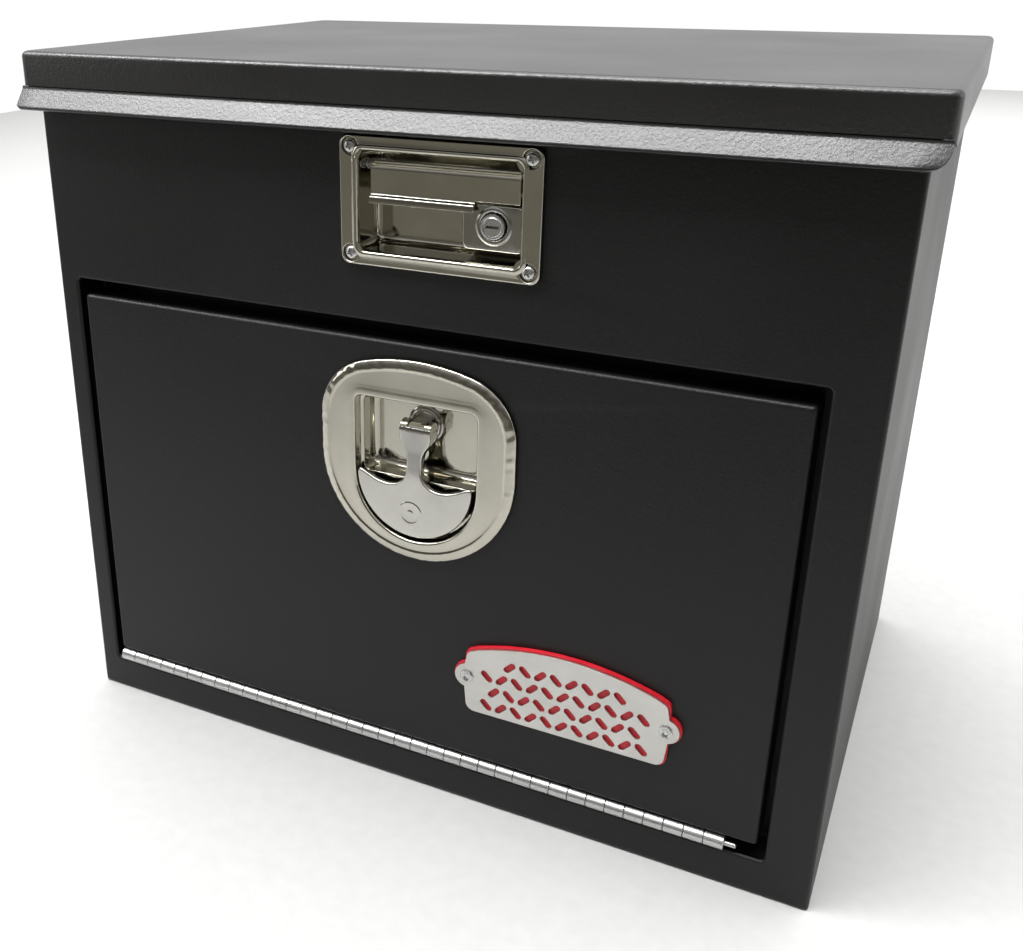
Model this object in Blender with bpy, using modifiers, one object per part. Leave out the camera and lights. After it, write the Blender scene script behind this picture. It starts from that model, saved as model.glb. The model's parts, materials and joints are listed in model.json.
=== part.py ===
"""Truck tool box: a sheet-metal cabinet with a top lid and a bottom-hinged drop door.

Dimensions are in millimetres from the cabinet's own corner: x from its left side, y back from
its front face, z up from the floor. The scene is in metres, centred over the object's footprint.
"""

from math import atan2, cos, hypot, pi, radians, sin

import bmesh
import bpy
from mathutils import Matrix, Vector

UNIT = 0.001
FIT_GAP = 0.3

# Cabinet
BODY_WIDTH = 546.0
BODY_DEPTH = 384.0
OVERALL_HEIGHT = 487.0
SHEET = 1.9
RIM_HEIGHT = 481.0
RIM_FLANGE = 12.0
OPENING_LEFT, OPENING_RIGHT = 16.0, 517.0
OPENING_BOTTOM, OPENING_TOP = 26.5, 336.0
FRAME_DEPTH = 28.0
STOP_LIP = 22.0
SIDE_STOP_LIP = 17.0

# Lid
LID_OVERHANG = 9.0
LID_FRONT_REACH = 6.0
LID_BACK_REACH = 3.9
LID_SKIRT_BOTTOM = 460.5
LID_FRONT_SKIRT_BOTTOM = 464.6
LIP_REACH = 15.0
LIP_BOTTOM = 452.8

# Door
DOOR_LEFT, DOOR_RIGHT = 21.0, 511.5
DOOR_BOTTOM, DOOR_TOP = 36.7, 325.0
DOOR_DEPTH = 22.0
SEAL_WIDTH = 6.5

# Continuous hinges
KNUCKLE_RADIUS = 4.75
KNUCKLE_PITCH = 12.7
PIN_RADIUS = 1.6
LEAF = 1.4
LEAF_START = 3.7
LEAF_WIDTH = 22.0
DOOR_HINGE_START = 22.7
DOOR_HINGE_KNUCKLES = 37
DOOR_HINGE_Y, DOOR_HINGE_Z = 1.0, 31.6
LID_HINGE_KNUCKLES = 19
LID_HINGE_Y = BODY_DEPTH + FIT_GAP + KNUCKLE_RADIUS
LID_HINGE_Z = LID_SKIRT_BOTTOM - FIT_GAP - KNUCKLE_RADIUS

# Folding T-handle on the door
DISH_X, DISH_Z = 278.0, 247.0
DISH_RADIUS = 67.0
DISH_PROUD = 4.2
RECESS_HALF = 43.0
RECESS_TOP = 41.0
RECESS_ARC_Z = -12.5
RECESS_DEPTH = 17.0
TRAY_DEPTH = 4.6
WELL_BOTTOM = -13.0
WELL_SETBACK = 0.5
CUP_WALL = 1.2
SPINDLE_Z = DISH_Z + 21.0
SPINDLE_RADIUS = 5.0
FOLD_Y = 5.5
FLAP_RADIUS = 40.4
CAM_LENGTH = 44.0

# Paddle latch on the header
PLATE_X, PLATE_Z = 293.0, 410.0
PLATE_WIDTH, PLATE_HEIGHT = 127.0, 77.0
PLATE_PROUD = 3.2
POCKET_LEFT, POCKET_RIGHT = -51.0, 51.0
POCKET_BOTTOM, POCKET_TOP = -29.0, 29.0
POCKET_DEPTH = 20.0
PADDLE_AXIS_Y, PADDLE_AXIS_Z = 8.0, PLATE_Z + 20.0
HOOK_AXIS_Y, HOOK_AXIS_Z = 29.0, PLATE_Z + 15.0
LOCK_X, LOCK_Z = PLATE_X + 32.0, PLATE_Z - 9.0
LOCK_RADIUS = 7.5
LOCK_BLOCK_LEFT = 12.0

# Badge on the door
BADGE_X, BADGE_Z = 385.0, 104.5
BADGE_THICKNESS, BADGE_FACE_THICKNESS = 2.8, 1.5

# Gas strut inside the left side
STRUT_X = 22.0
STRUT_BODY_Y, STRUT_BODY_Z = 195.0, 330.0
STRUT_LID_Y, STRUT_LID_Z = 335.0, 466.0

# The footprint runs from the lid's lip to the back of the lid hinge.
FRONT_TO_CENTRE = (LID_HINGE_Y + KNUCKLE_RADIUS - LIP_REACH) / 2

PARTS = "truck_tool_box"
COAT = ("black_powder_coat", (0.012, 0.012, 0.013), 0.42, 0.35)
POLISHED = ("polished_stainless", (0.72, 0.71, 0.68), 0.10, 1.0)
SATIN = ("satin_stainless", (0.60, 0.60, 0.59), 0.30, 1.0)
RUBBER = ("black_rubber", (0.018, 0.018, 0.018), 0.75, 0.0)
ZINC = ("zinc_plated_steel", (0.55, 0.56, 0.58), 0.35, 1.0)
RED = ("red_coated_steel", (0.62, 0.02, 0.04), 0.38, 0.0)
BLACK_TUBE = ("black_strut_tube", (0.02, 0.02, 0.02), 0.30, 0.0)


def clear_scene():
    for obj in list(bpy.data.objects):
        bpy.data.objects.remove(obj, do_unlink=True)


def collection(name, hidden=False):
    found = bpy.data.collections.new(name)
    bpy.context.scene.collection.children.link(found)
    found.hide_render = hidden
    return found


def material(name, colour, roughness, metallic):
    made = bpy.data.materials.new(name)
    made.use_nodes = True
    shader = made.node_tree.nodes["Principled BSDF"]
    shader.inputs["Base Color"].default_value = (*colour, 1.0)
    shader.inputs["Roughness"].default_value = roughness
    shader.inputs["Metallic"].default_value = metallic
    return made


def place(x, y, z):
    """A point of the cabinet's own frame, in the scene."""
    return Vector(((x - BODY_WIDTH / 2), (y - FRONT_TO_CENTRE), z)) * UNIT


def new_object(name, mesh, where, finish=None, matrix=None):
    """An object with its origin at where, whose mesh is given in millimetres about it."""
    mesh.transform(Matrix.Scale(UNIT, 4) if matrix is None else matrix @ Matrix.Scale(UNIT, 4))
    obj = bpy.data.objects.new(name, mesh)
    obj.location = place(*where)
    if finish is None:
        cutters.objects.link(obj)
        obj.hide_render = True
        obj.display_type = "WIRE"
    else:
        parts.objects.link(obj)
        mesh.materials.append(bpy.data.materials[finish[0]])
    return obj


def box(name, low, high, finish=None):
    """A box between two corners, with its origin at its centre."""
    low, high = Vector(low), Vector(high)
    centre = (low + high) / 2
    made = bmesh.new()
    bmesh.ops.create_cube(made, size=1.0)
    bmesh.ops.scale(made, vec=high - low, verts=made.verts)
    mesh = bpy.data.meshes.new(name)
    made.to_mesh(mesh)
    made.free()
    return new_object(name, mesh, centre, finish)


# Each view maps an outline's own axes and its thickness to the scene's axes.
FACING_FRONT = Matrix(((1, 0, 0, 0), (0, 0, -1, 0), (0, 1, 0, 0), (0, 0, 0, 1)))
FACING_SIDE = Matrix(((0, 0, 1, 0), (1, 0, 0, 0), (0, 1, 0, 0), (0, 0, 0, 1)))


def outline_solid(name, outlines, thickness, where, view, finish=None):
    """Flat outlines, the later ones as holes, filled and extruded evenly about where."""
    curve = bpy.data.curves.new(name, "CURVE")
    curve.dimensions = "2D"
    curve.fill_mode = "BOTH"
    curve.extrude = thickness / 2
    for outline in outlines:
        spline = curve.splines.new("POLY")
        spline.points.add(len(outline) - 1)
        for point, (a, b) in zip(spline.points, outline):
            point.co = (a, b, 0.0, 1.0)
        spline.use_cyclic_u = True
    guide = bpy.data.objects.new(name + "_outline", curve)
    cutters.objects.link(guide)
    graph = bpy.context.evaluated_depsgraph_get()
    mesh = bpy.data.meshes.new_from_object(guide.evaluated_get(graph))
    mesh.name = name
    bpy.data.objects.remove(guide)
    bpy.data.curves.remove(curve)
    made = bmesh.new()
    made.from_mesh(mesh)
    bmesh.ops.remove_doubles(made, verts=made.verts, dist=0.001)
    bmesh.ops.recalc_face_normals(made, faces=made.faces)
    made.to_mesh(mesh)
    made.free()
    mesh.materials.clear()
    return new_object(name, mesh, where, finish, view)


def cylinder(name, radius, length, where, axis, finish=None, sides=20):
    made = bmesh.new()
    bmesh.ops.create_cone(
        made, cap_ends=True, segments=sides, radius1=radius, radius2=radius, depth=length
    )
    turn = {"X": Matrix.Rotation(pi / 2, 4, "Y"), "Y": Matrix.Rotation(pi / 2, 4, "X")}
    bmesh.ops.transform(made, matrix=turn.get(axis, Matrix()), verts=made.verts)
    mesh = bpy.data.meshes.new(name)
    made.to_mesh(mesh)
    made.free()
    obj = new_object(name, mesh, where, finish)
    smooth(obj)
    return obj


def smooth(obj, angle=35):
    obj.data.shade_smooth()
    obj.data.set_sharp_from_angle(angle=radians(angle))


def combine(obj, others, operation="UNION"):
    """Boolean each other object into obj; the others become hidden cutters."""
    for other in others:
        modifier = obj.modifiers.new(operation.lower(), "BOOLEAN")
        modifier.operation = operation
        modifier.solver = "EXACT"
        modifier.object = other
    return obj


def boxes(name, corners, finish):
    """Overlapping boxes welded into one sheet-metal piece."""
    first, *rest = corners
    whole = box(name, *first, finish)
    helpers = [box(f"{name}_fold_{i}", *pair) for i, pair in enumerate(rest)]
    return combine(whole, helpers)


def arc(centre_a, centre_b, radius, start, end, steps):
    """Points along an arc, in degrees, both ends included."""
    turn = radians(end - start) / steps
    return [
        (
            centre_a + radius * cos(radians(start) + turn * i),
            centre_b + radius * sin(radians(start) + turn * i),
        )
        for i in range(steps + 1)
    ]


def rounded_rectangle(left, right, bottom, top, radius, steps=4):
    return (
        arc(right - radius, bottom + radius, radius, -90, 0, steps)
        + arc(right - radius, top - radius, radius, 0, 90, steps)
        + arc(left + radius, top - radius, radius, 90, 180, steps)
        + arc(left + radius, bottom + radius, radius, 180, 270, steps)
    )


# ---------------------------------------------------------------- cabinet


def build_cabinet():
    inner_left, inner_right = SHEET + FIT_GAP, BODY_WIDTH - SHEET - FIT_GAP
    flange_left, flange_right = RIM_FLANGE + FIT_GAP, BODY_WIDTH - RIM_FLANGE - FIT_GAP
    front, back = SHEET + FIT_GAP, BODY_DEPTH - SHEET - FIT_GAP
    for side, outer, inner, reach in (
        ("left", 0.0, SHEET, RIM_FLANGE),
        ("right", BODY_WIDTH, BODY_WIDTH - SHEET, BODY_WIDTH - RIM_FLANGE),
    ):
        low, high = sorted((outer, inner))
        flange_low, flange_high = sorted((outer, reach))
        boxes(
            f"{side}_side_panel",
            [
                ((low, 0, 0), (high, BODY_DEPTH, RIM_HEIGHT)),
                ((flange_low, front, RIM_HEIGHT - SHEET), (flange_high, back, RIM_HEIGHT)),
            ],
            COAT,
        )
    boxes(
        "back_panel",
        [
            ((inner_left, BODY_DEPTH - SHEET, 0), (inner_right, BODY_DEPTH, RIM_HEIGHT)),
            (
                (flange_left, BODY_DEPTH - RIM_FLANGE, RIM_HEIGHT - SHEET),
                (flange_right, BODY_DEPTH, RIM_HEIGHT),
            ),
        ],
        COAT,
    )
    box("floor_panel", (inner_left, front, 0), (inner_right, back, SHEET), COAT)
    header = boxes(
        "front_header_panel",
        [
            ((inner_left, 0, OPENING_TOP), (inner_right, SHEET, RIM_HEIGHT)),
            ((flange_left, 0, RIM_HEIGHT - SHEET), (flange_right, RIM_FLANGE, RIM_HEIGHT)),
        ],
        COAT,
    )
    room = CUP_WALL + FIT_GAP
    hole = box(
        "paddle_latch_cutout",
        (PLATE_X + POCKET_LEFT - room, -5, PLATE_Z + POCKET_BOTTOM - room),
        (PLATE_X + POCKET_RIGHT + room, SHEET + 5, PLATE_Z + POCKET_TOP + room),
    )
    combine(header, [hole], "DIFFERENCE")
    box("front_sill_panel", (inner_left, 0, 0), (inner_right, SHEET, OPENING_BOTTOM), COAT)
    jamb_bottom, jamb_top = OPENING_BOTTOM + FIT_GAP, OPENING_TOP - FIT_GAP
    box(
        "front_left_jamb",
        (inner_left, 0, jamb_bottom),
        (OPENING_LEFT, SHEET, jamb_top),
        COAT,
    )
    box(
        "front_right_jamb",
        (OPENING_RIGHT, 0, jamb_bottom),
        (inner_right, SHEET, jamb_top),
        COAT,
    )


def build_door_frame():
    """Folded channel behind the opening's edge; its inner lip carries the door seal."""
    start = SHEET + FIT_GAP
    lip = FRAME_DEPTH - SHEET
    for name, edge, outward, reach in (
        ("door_frame_top", OPENING_TOP, 1, OPENING_TOP - STOP_LIP),
        ("door_frame_bottom", OPENING_BOTTOM, -1, OPENING_BOTTOM + STOP_LIP),
    ):
        outer = edge + outward * SHEET
        low, high = sorted((edge, outer))
        lip_low, lip_high = sorted((outer, reach))
        boxes(
            name,
            [
                ((OPENING_LEFT - SHEET, start, low), (OPENING_RIGHT + SHEET, FRAME_DEPTH, high)),
                ((OPENING_LEFT, lip, lip_low), (OPENING_RIGHT, FRAME_DEPTH, lip_high)),
            ],
            COAT,
        )
    for name, edge, outward in (
        ("door_frame_left", OPENING_LEFT, -1),
        ("door_frame_right", OPENING_RIGHT, 1),
    ):
        outer = edge + outward * SHEET
        reach = edge - outward * SIDE_STOP_LIP
        low, high = sorted((edge, outer))
        lip_low, lip_high = sorted((outer, reach))
        boxes(
            name,
            [
                (
                    (low, start, OPENING_BOTTOM + FIT_GAP),
                    (high, FRAME_DEPTH, OPENING_TOP - FIT_GAP),
                ),
                (
                    (lip_low, lip, OPENING_BOTTOM + STOP_LIP + FIT_GAP),
                    (lip_high, FRAME_DEPTH, OPENING_TOP - STOP_LIP - FIT_GAP),
                ),
            ],
            COAT,
        )


def build_seals():
    front_of_lip = FRAME_DEPTH - SHEET - FIT_GAP
    back_of_door = DOOR_DEPTH + FIT_GAP
    middle = (front_of_lip + back_of_door) / 2
    outer = rounded_rectangle(DOOR_LEFT, DOOR_RIGHT, DOOR_BOTTOM, DOOR_TOP, 5, 2)
    inner = rounded_rectangle(
        DOOR_LEFT + SEAL_WIDTH,
        DOOR_RIGHT - SEAL_WIDTH,
        DOOR_BOTTOM + SEAL_WIDTH,
        DOOR_TOP - SEAL_WIDTH,
        3,
        2,
    )
    outline_solid(
        "door_seal",
        [outer, inner],
        front_of_lip - back_of_door,
        (0, middle, 0),
        FACING_FRONT,
        RUBBER,
    )
    underside = OVERALL_HEIGHT - SHEET - FIT_GAP
    thickness = underside - RIM_HEIGHT - FIT_GAP
    outer = rounded_rectangle(2, BODY_WIDTH - 2, 2, BODY_DEPTH - 2, 6, 2)
    edge = RIM_FLANGE - 1
    inner = rounded_rectangle(edge, BODY_WIDTH - edge, edge, BODY_DEPTH - edge, 4, 2)
    outline_solid(
        "lid_seal",
        [outer, inner],
        thickness,
        (0, 0, underside - thickness / 2),
        Matrix(),
        RUBBER,
    )


# ---------------------------------------------------------------- sheet pans


def pan(name, low, high, open_side, finish, bend=3.0, lip=None):
    """A folded pan: a box open on one side, its sheet thickness inside the given corners."""
    low, high = Vector(low), Vector(high)
    centre = (low + high) / 2
    made = bmesh.new()
    bmesh.ops.create_cube(made, size=1.0)
    bmesh.ops.scale(made, vec=high - low, verts=made.verts)
    open_faces = [f for f in made.faces if f.normal.dot(Vector(open_side)) > 0.5]
    bmesh.ops.delete(made, geom=open_faces, context="FACES_ONLY")
    if lip:
        lip(made, centre)
    mesh = bpy.data.meshes.new(name)
    made.to_mesh(mesh)
    made.free()
    obj = new_object(name, mesh, centre, finish)
    bends = obj.modifiers.new("bends", "BEVEL")
    bends.width = bend * UNIT
    bends.segments = 2
    bends.limit_method = "ANGLE"
    bends.angle_limit = radians(30)
    sheet = obj.modifiers.new("sheet", "SOLIDIFY")
    sheet.thickness = SHEET * UNIT
    sheet.offset = -1
    sheet.use_even_offset = True
    return obj


def add_lip(made, centre):
    """Flares the front skirt's lower edge out and down."""
    bottom = min(v.co.z for v in made.verts)
    front = min(v.co.y for v in made.verts)
    edges = [
        e
        for e in made.edges
        if all(v.co.z < bottom + 0.01 and v.co.y < front + 0.01 for v in e.verts)
    ]
    made_edges = bmesh.ops.extrude_edge_only(made, edges=edges)
    for item in made_edges["geom"]:
        if isinstance(item, bmesh.types.BMVert):
            item.co.y = -LIP_REACH - centre.y
            item.co.z = LIP_BOTTOM - centre.z


def build_lid():
    lid = pan(
        "lid_panel",
        (-LID_OVERHANG, -LID_FRONT_REACH, LID_FRONT_SKIRT_BOTTOM - 2),
        (BODY_WIDTH + LID_OVERHANG, BODY_DEPTH + LID_BACK_REACH, OVERALL_HEIGHT),
        (0, 0, -1),
        COAT,
        lip=add_lip,
    )
    smooth(lid)
    top = OVERALL_HEIGHT - SHEET - FIT_GAP
    depth = 14.0
    flange = 12.0
    half = 22.0
    hat = [
        (-half - flange, 0),
        (-half - flange, -SHEET),
        (-half, -SHEET),
        (-half, -depth),
        (half, -depth),
        (half, -SHEET),
        (half + flange, -SHEET),
        (half + flange, 0),
        (half - SHEET, 0),
        (half - SHEET, SHEET - depth),
        (SHEET - half, SHEET - depth),
        (SHEET - half, 0),
    ]
    outline_solid(
        "lid_stiffener",
        [hat],
        BODY_WIDTH - 90,
        (BODY_WIDTH / 2, BODY_DEPTH * 0.46, top),
        FACING_SIDE,
        COAT,
    )


def build_striker():
    """A bar on two legs below the lid, which the latch hook catches."""
    bar_y, bar_z = 20.0, PLATE_Z + 53.0
    top = OVERALL_HEIGHT - SHEET - FIT_GAP
    half = 15.0
    wire = 3.0
    plate = box(
        "lid_striker",
        (PLATE_X - half - 9, bar_y - 7, top - 2),
        (PLATE_X + half + 9, bar_y + 7, top),
        ZINC,
    )
    legs = [
        cylinder(
            f"striker_leg_{i}",
            wire,
            top - bar_z,
            (x, bar_y, (top - 1 + bar_z - 1) / 2),
            "Z",
            sides=10,
        )
        for i, x in enumerate((PLATE_X - half, PLATE_X + half))
    ]
    bar = cylinder(
        "striker_bar", wire * 0.98, 2 * half + 4, (PLATE_X, bar_y, bar_z), "X", sides=12
    )
    combine(plate, legs + [bar])


def build_door():
    door = pan(
        "door_panel",
        (DOOR_LEFT, 0, DOOR_BOTTOM),
        (DOOR_RIGHT, DOOR_DEPTH, DOOR_TOP),
        (0, 1, 0),
        COAT,
    )
    hole = outline_solid(
        "t_handle_cutout",
        [recess_outline(CUP_WALL + FIT_GAP + 0.3)],
        12,
        (DISH_X, 0, DISH_Z),
        FACING_FRONT,
    )
    combine(door, [hole], "DIFFERENCE")
    smooth(door)


# ---------------------------------------------------------------- continuous hinges


def hinge_leaf(name, start, count, first, pitch, axis, along, across, finish, width=LEAF_WIDTH):
    """One leaf with every other knuckle; along runs down the leaf, across to its own side."""
    along, across = Vector(along), Vector(across)

    def to_side(s, t):
        return tuple(along * s + across * t)

    length = count * pitch
    outer_face, inner_face = KNUCKLE_RADIUS, KNUCKLE_RADIUS - LEAF
    strip = [
        to_side(LEAF_START, inner_face),
        to_side(width, inner_face),
        to_side(width, outer_face),
        to_side(LEAF_START, outer_face),
    ]
    leaf = outline_solid(
        name,
        [strip],
        length - 0.8,
        (start + length / 2, *axis),
        FACING_SIDE,
        finish,
    )
    barrel = arc(0, 0, KNUCKLE_RADIUS, 90, 360, 8)
    barrel = [to_side(s, t) for s, t in barrel]
    tab = [to_side(LEAF_START + 0.6, inner_face - 0.1), to_side(LEAF_START + 0.6, outer_face)]
    bore = [to_side(s, t) for s, t in arc(0, 0, PIN_RADIUS + FIT_GAP, 0, 315, 7)]
    knuckles = []
    for i in range(first, count, 2):
        knuckle = outline_solid(
            f"{name}_knuckle_{i}",
            [barrel + tab, bore],
            pitch - 0.4,
            (start + (i + 0.5) * pitch, *axis),
            FACING_SIDE,
        )
        knuckles.append(knuckle)
    joined = bmesh.new()
    for knuckle in knuckles:
        knuckle.data.transform(Matrix.Translation(knuckle.location - leaf.location))
        joined.from_mesh(knuckle.data)
        bpy.data.objects.remove(knuckle)
    mesh = bpy.data.meshes.new(name + "_knuckles")
    joined.to_mesh(mesh)
    joined.free()
    row = bpy.data.objects.new(name + "_knuckles", mesh)
    row.location = leaf.location
    row.hide_render = True
    row.display_type = "WIRE"
    cutters.objects.link(row)
    combine(leaf, [row])
    smooth(leaf)


def build_hinges():
    axis = (DOOR_HINGE_Y, DOOR_HINGE_Z)
    count = DOOR_HINGE_KNUCKLES
    for name, first, side in (
        ("door_hinge_fixed_leaf", 0, (0, -1)),
        ("door_hinge_moving_leaf", 1, (0, 1)),
    ):
        hinge_leaf(
            name, DOOR_HINGE_START, count, first, KNUCKLE_PITCH, axis, (1, 0), side, SATIN
        )
    stub = 7.0
    length = count * KNUCKLE_PITCH + stub
    cylinder(
        "door_hinge_pin",
        PIN_RADIUS,
        length,
        (DOOR_HINGE_START + length / 2, *axis),
        "X",
        SATIN,
        sides=10,
    )
    axis = (LID_HINGE_Y, LID_HINGE_Z)
    count = LID_HINGE_KNUCKLES
    pitch = KNUCKLE_PITCH * 2
    length = count * pitch
    start = (BODY_WIDTH - length) / 2
    for name, first, way in (
        ("lid_hinge_fixed_leaf", 0, (0, -1)),
        ("lid_hinge_moving_leaf", 1, (0, 1)),
    ):
        hinge_leaf(name, start, count, first, pitch, axis, way, (-1, 0), SATIN)
    cylinder(
        "lid_hinge_pin",
        PIN_RADIUS,
        length,
        (start + length / 2, *axis),
        "X",
        SATIN,
        sides=10,
    )


# ---------------------------------------------------------------- folding T-handle


def dish_outline(grow=0.0, steps=6):
    """A soft D: a round bottom, nearly straight sides and a gently crowned top."""
    radius = DISH_RADIUS + grow
    crown = radius * 2.1
    corner = 38.0 + grow
    shoulder_a, shoulder_b = radius - corner, 21.0
    top = 68.5 + grow
    half_angle = 12
    crown_arc = arc(0, top - crown, crown, 90 - half_angle, 90 + half_angle, 6)
    return (
        arc(0, 0, radius, 180, 360, 4 * steps)
        + arc(shoulder_a, shoulder_b, corner, 0, 62, steps)
        + crown_arc
        + arc(-shoulder_a, shoulder_b, corner, 118, 180, steps)
    )


def recess_outline(grow=0.0, steps=18):
    radius = RECESS_HALF + grow
    corner = 5.0 + grow
    return (
        arc(0, RECESS_ARC_Z, radius, 180, 360, steps)
        + arc(radius - corner, RECESS_TOP + grow - corner, corner, 0, 90, 3)
        + arc(corner - radius, RECESS_TOP + grow - corner, corner, 90, 180, 3)
    )


def build_t_handle_dish():
    gasket = 0.8
    rear = FIT_GAP + gasket + FIT_GAP
    thickness = DISH_PROUD - rear
    dish = outline_solid(
        "t_handle_dish",
        [dish_outline()],
        thickness,
        (DISH_X, -rear - thickness / 2, DISH_Z),
        FACING_FRONT,
        POLISHED,
    )
    bottom = RECESS_DEPTH + CUP_WALL

    def recess(name, outline, start, end):
        middle = (DISH_X, (start + end) / 2, DISH_Z)
        return outline_solid(name, [outline], end - start, middle, FACING_FRONT)

    def well_outline(grow):
        """The deep upper part; the tray below it only seats the flap."""
        half = RECESS_HALF - WELL_SETBACK + grow
        top = RECESS_TOP - WELL_SETBACK + grow
        return rounded_rectangle(-half, half, WELL_BOTTOM - grow, top, 4.0 + grow)

    tray_cup = recess("dish_tray_cup", recess_outline(CUP_WALL), -rear - 1, TRAY_DEPTH + CUP_WALL)
    well_cup = recess("dish_well_cup", well_outline(CUP_WALL), -rear - 0.6, bottom)
    tray = recess("dish_tray", recess_outline(), -10, TRAY_DEPTH)
    well = recess("dish_well", well_outline(0), TRAY_DEPTH - 1, RECESS_DEPTH)
    bore = cylinder(
        "dish_bore",
        SPINDLE_RADIUS + 0.4,
        12,
        (DISH_X, bottom, SPINDLE_Z),
        "Y",
        sides=16,
    )
    combine(dish, [tray_cup, well_cup])
    combine(dish, [tray, well, bore], "DIFFERENCE")
    smooth(dish)
    outline_solid(
        "t_handle_gasket",
        [dish_outline(-1.0), recess_outline(CUP_WALL + FIT_GAP + 0.3)],
        gasket,
        (DISH_X, -FIT_GAP - gasket / 2, DISH_Z),
        FACING_FRONT,
        RUBBER,
    )


def build_t_handle_spindle():
    wall = RECESS_DEPTH
    end = 44.0
    washer = 2.0
    lug_half = 5.6
    lug_radius = 4.6
    spindle = cylinder(
        "t_handle_spindle",
        SPINDLE_RADIUS,
        end - wall + 4,
        (DISH_X, (end + wall - 4) / 2, SPINDLE_Z),
        "Y",
        POLISHED,
    )
    hub = cylinder(
        "spindle_hub",
        10.5,
        washer,
        (DISH_X, wall - FIT_GAP - washer / 2, SPINDLE_Z),
        "Y",
        sides=24,
    )
    eye = cylinder(
        "spindle_eye", lug_radius, 2 * lug_half, (DISH_X, FOLD_Y, SPINDLE_Z), "X", sides=16
    )
    lug = box(
        "spindle_lug",
        (DISH_X - lug_half, FOLD_Y, SPINDLE_Z - lug_radius + 0.4),
        (DISH_X + lug_half, wall - FIT_GAP - washer / 2, SPINDLE_Z + lug_radius - 0.4),
    )
    bore = cylinder("spindle_pin_bore", 2.3, 30, (DISH_X, FOLD_Y, SPINDLE_Z), "X", sides=12)
    combine(spindle, [hub, lug, eye])
    combine(spindle, [bore], "DIFFERENCE")
    smooth(spindle)
    cylinder(
        "t_handle_pivot_pin", 2.0, 17.4, (DISH_X, FOLD_Y, SPINDLE_Z), "X", POLISHED, sides=12
    )
    cam_front, cam = 33.0, 3.5
    tip = arc(0, CAM_LENGTH - 9, 9, 0, 180, 8)
    root = arc(0, 0, 10, 180, 360, 8)
    hole = arc(0, 0, SPINDLE_RADIUS + FIT_GAP, 0, 330, 11)
    outline_solid(
        "t_handle_cam",
        [root + tip, hole],
        cam,
        (DISH_X, cam_front + cam / 2, SPINDLE_Z),
        FACING_FRONT,
        ZINC,
    )
    nut_front, nut = cam_front + cam + FIT_GAP, 5.0
    hexagon = arc(0, 0, 9.2, 0, 300, 5)
    outline_solid(
        "t_handle_nut",
        [hexagon, hole],
        nut,
        (DISH_X, nut_front + nut / 2, SPINDLE_Z),
        FACING_FRONT,
        ZINC,
    )


def build_t_handle_grip():
    """The half-round flap and its neck, with two ears back to the pivot pin."""
    plate = 1.6
    face = -2.6
    centre = DISH_Z + RECESS_ARC_Z
    flap_top = DISH_Z - 12.5
    rise = flap_top - centre
    corner = 3.0
    side_angle = 4.0
    neck_half, head_half = 5.5, 11.0
    neck_low, neck_high, head_low = flap_top + 5, SPINDLE_Z - 16, SPINDLE_Z - 6
    head_top = SPINDLE_Z + 8
    low = SPINDLE_Z
    outline = (
        arc(0, centre - low, FLAP_RADIUS, 180 + side_angle, 360 - side_angle, 24)
        + [(FLAP_RADIUS - corner, rise + centre - low)]
        + [(neck_half + 7, flap_top - low + 1), (neck_half, neck_low - low)]
        + [(neck_half, neck_high - low), (head_half, head_low - low), (head_half, head_top - low)]
        + [(-head_half, head_top - low), (-head_half, head_low - low)]
        + [(-neck_half, neck_high - low), (-neck_half, neck_low - low)]
        + [(-neck_half - 7, flap_top - low + 1), (corner - FLAP_RADIUS, rise + centre - low)]
    )
    where = (DISH_X, FOLD_Y, SPINDLE_Z)
    grip = outline_solid("t_handle_grip", [outline], plate, where, FACING_FRONT, POLISHED)
    grip.data.transform(Matrix.Translation((0, (face + plate / 2 - FOLD_Y) * UNIT, 0)))
    ears = []
    for side, x in (("left", -7.0), ("right", 7.0)):
        profile = [(face + 0.5, -6), (FOLD_Y + 2, -6), (FOLD_Y + 5.5, -3)]
        profile += [(FOLD_Y + 5.5, 4), (FOLD_Y + 2, 7), (face + 0.5, 7.5)]
        profile = [(y - FOLD_Y, z) for y, z in profile]
        ears.append(
            outline_solid(f"grip_{side}_ear", [profile], 1.8, (DISH_X + x, *where[1:]), FACING_SIDE)
        )
    curl = []
    for side, x in (("left", -19.0), ("right", 19.0)):
        profile = [(face + 0.5, -1.8), (face + 6, -1.0), (face + 6.5, 0.6), (face + 0.5, 0.4)]
        curl.append(
            outline_solid(
                f"grip_{side}_curl", [profile], 22, (DISH_X + x, 0, flap_top - 1), FACING_SIDE
            )
        )
    bore = cylinder("grip_pin_bore", 2.3, 30, where, "X", sides=12)
    combine(grip, ears + curl)
    combine(grip, [bore], "DIFFERENCE")
    smooth(grip)


# ---------------------------------------------------------------- paddle latch


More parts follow.
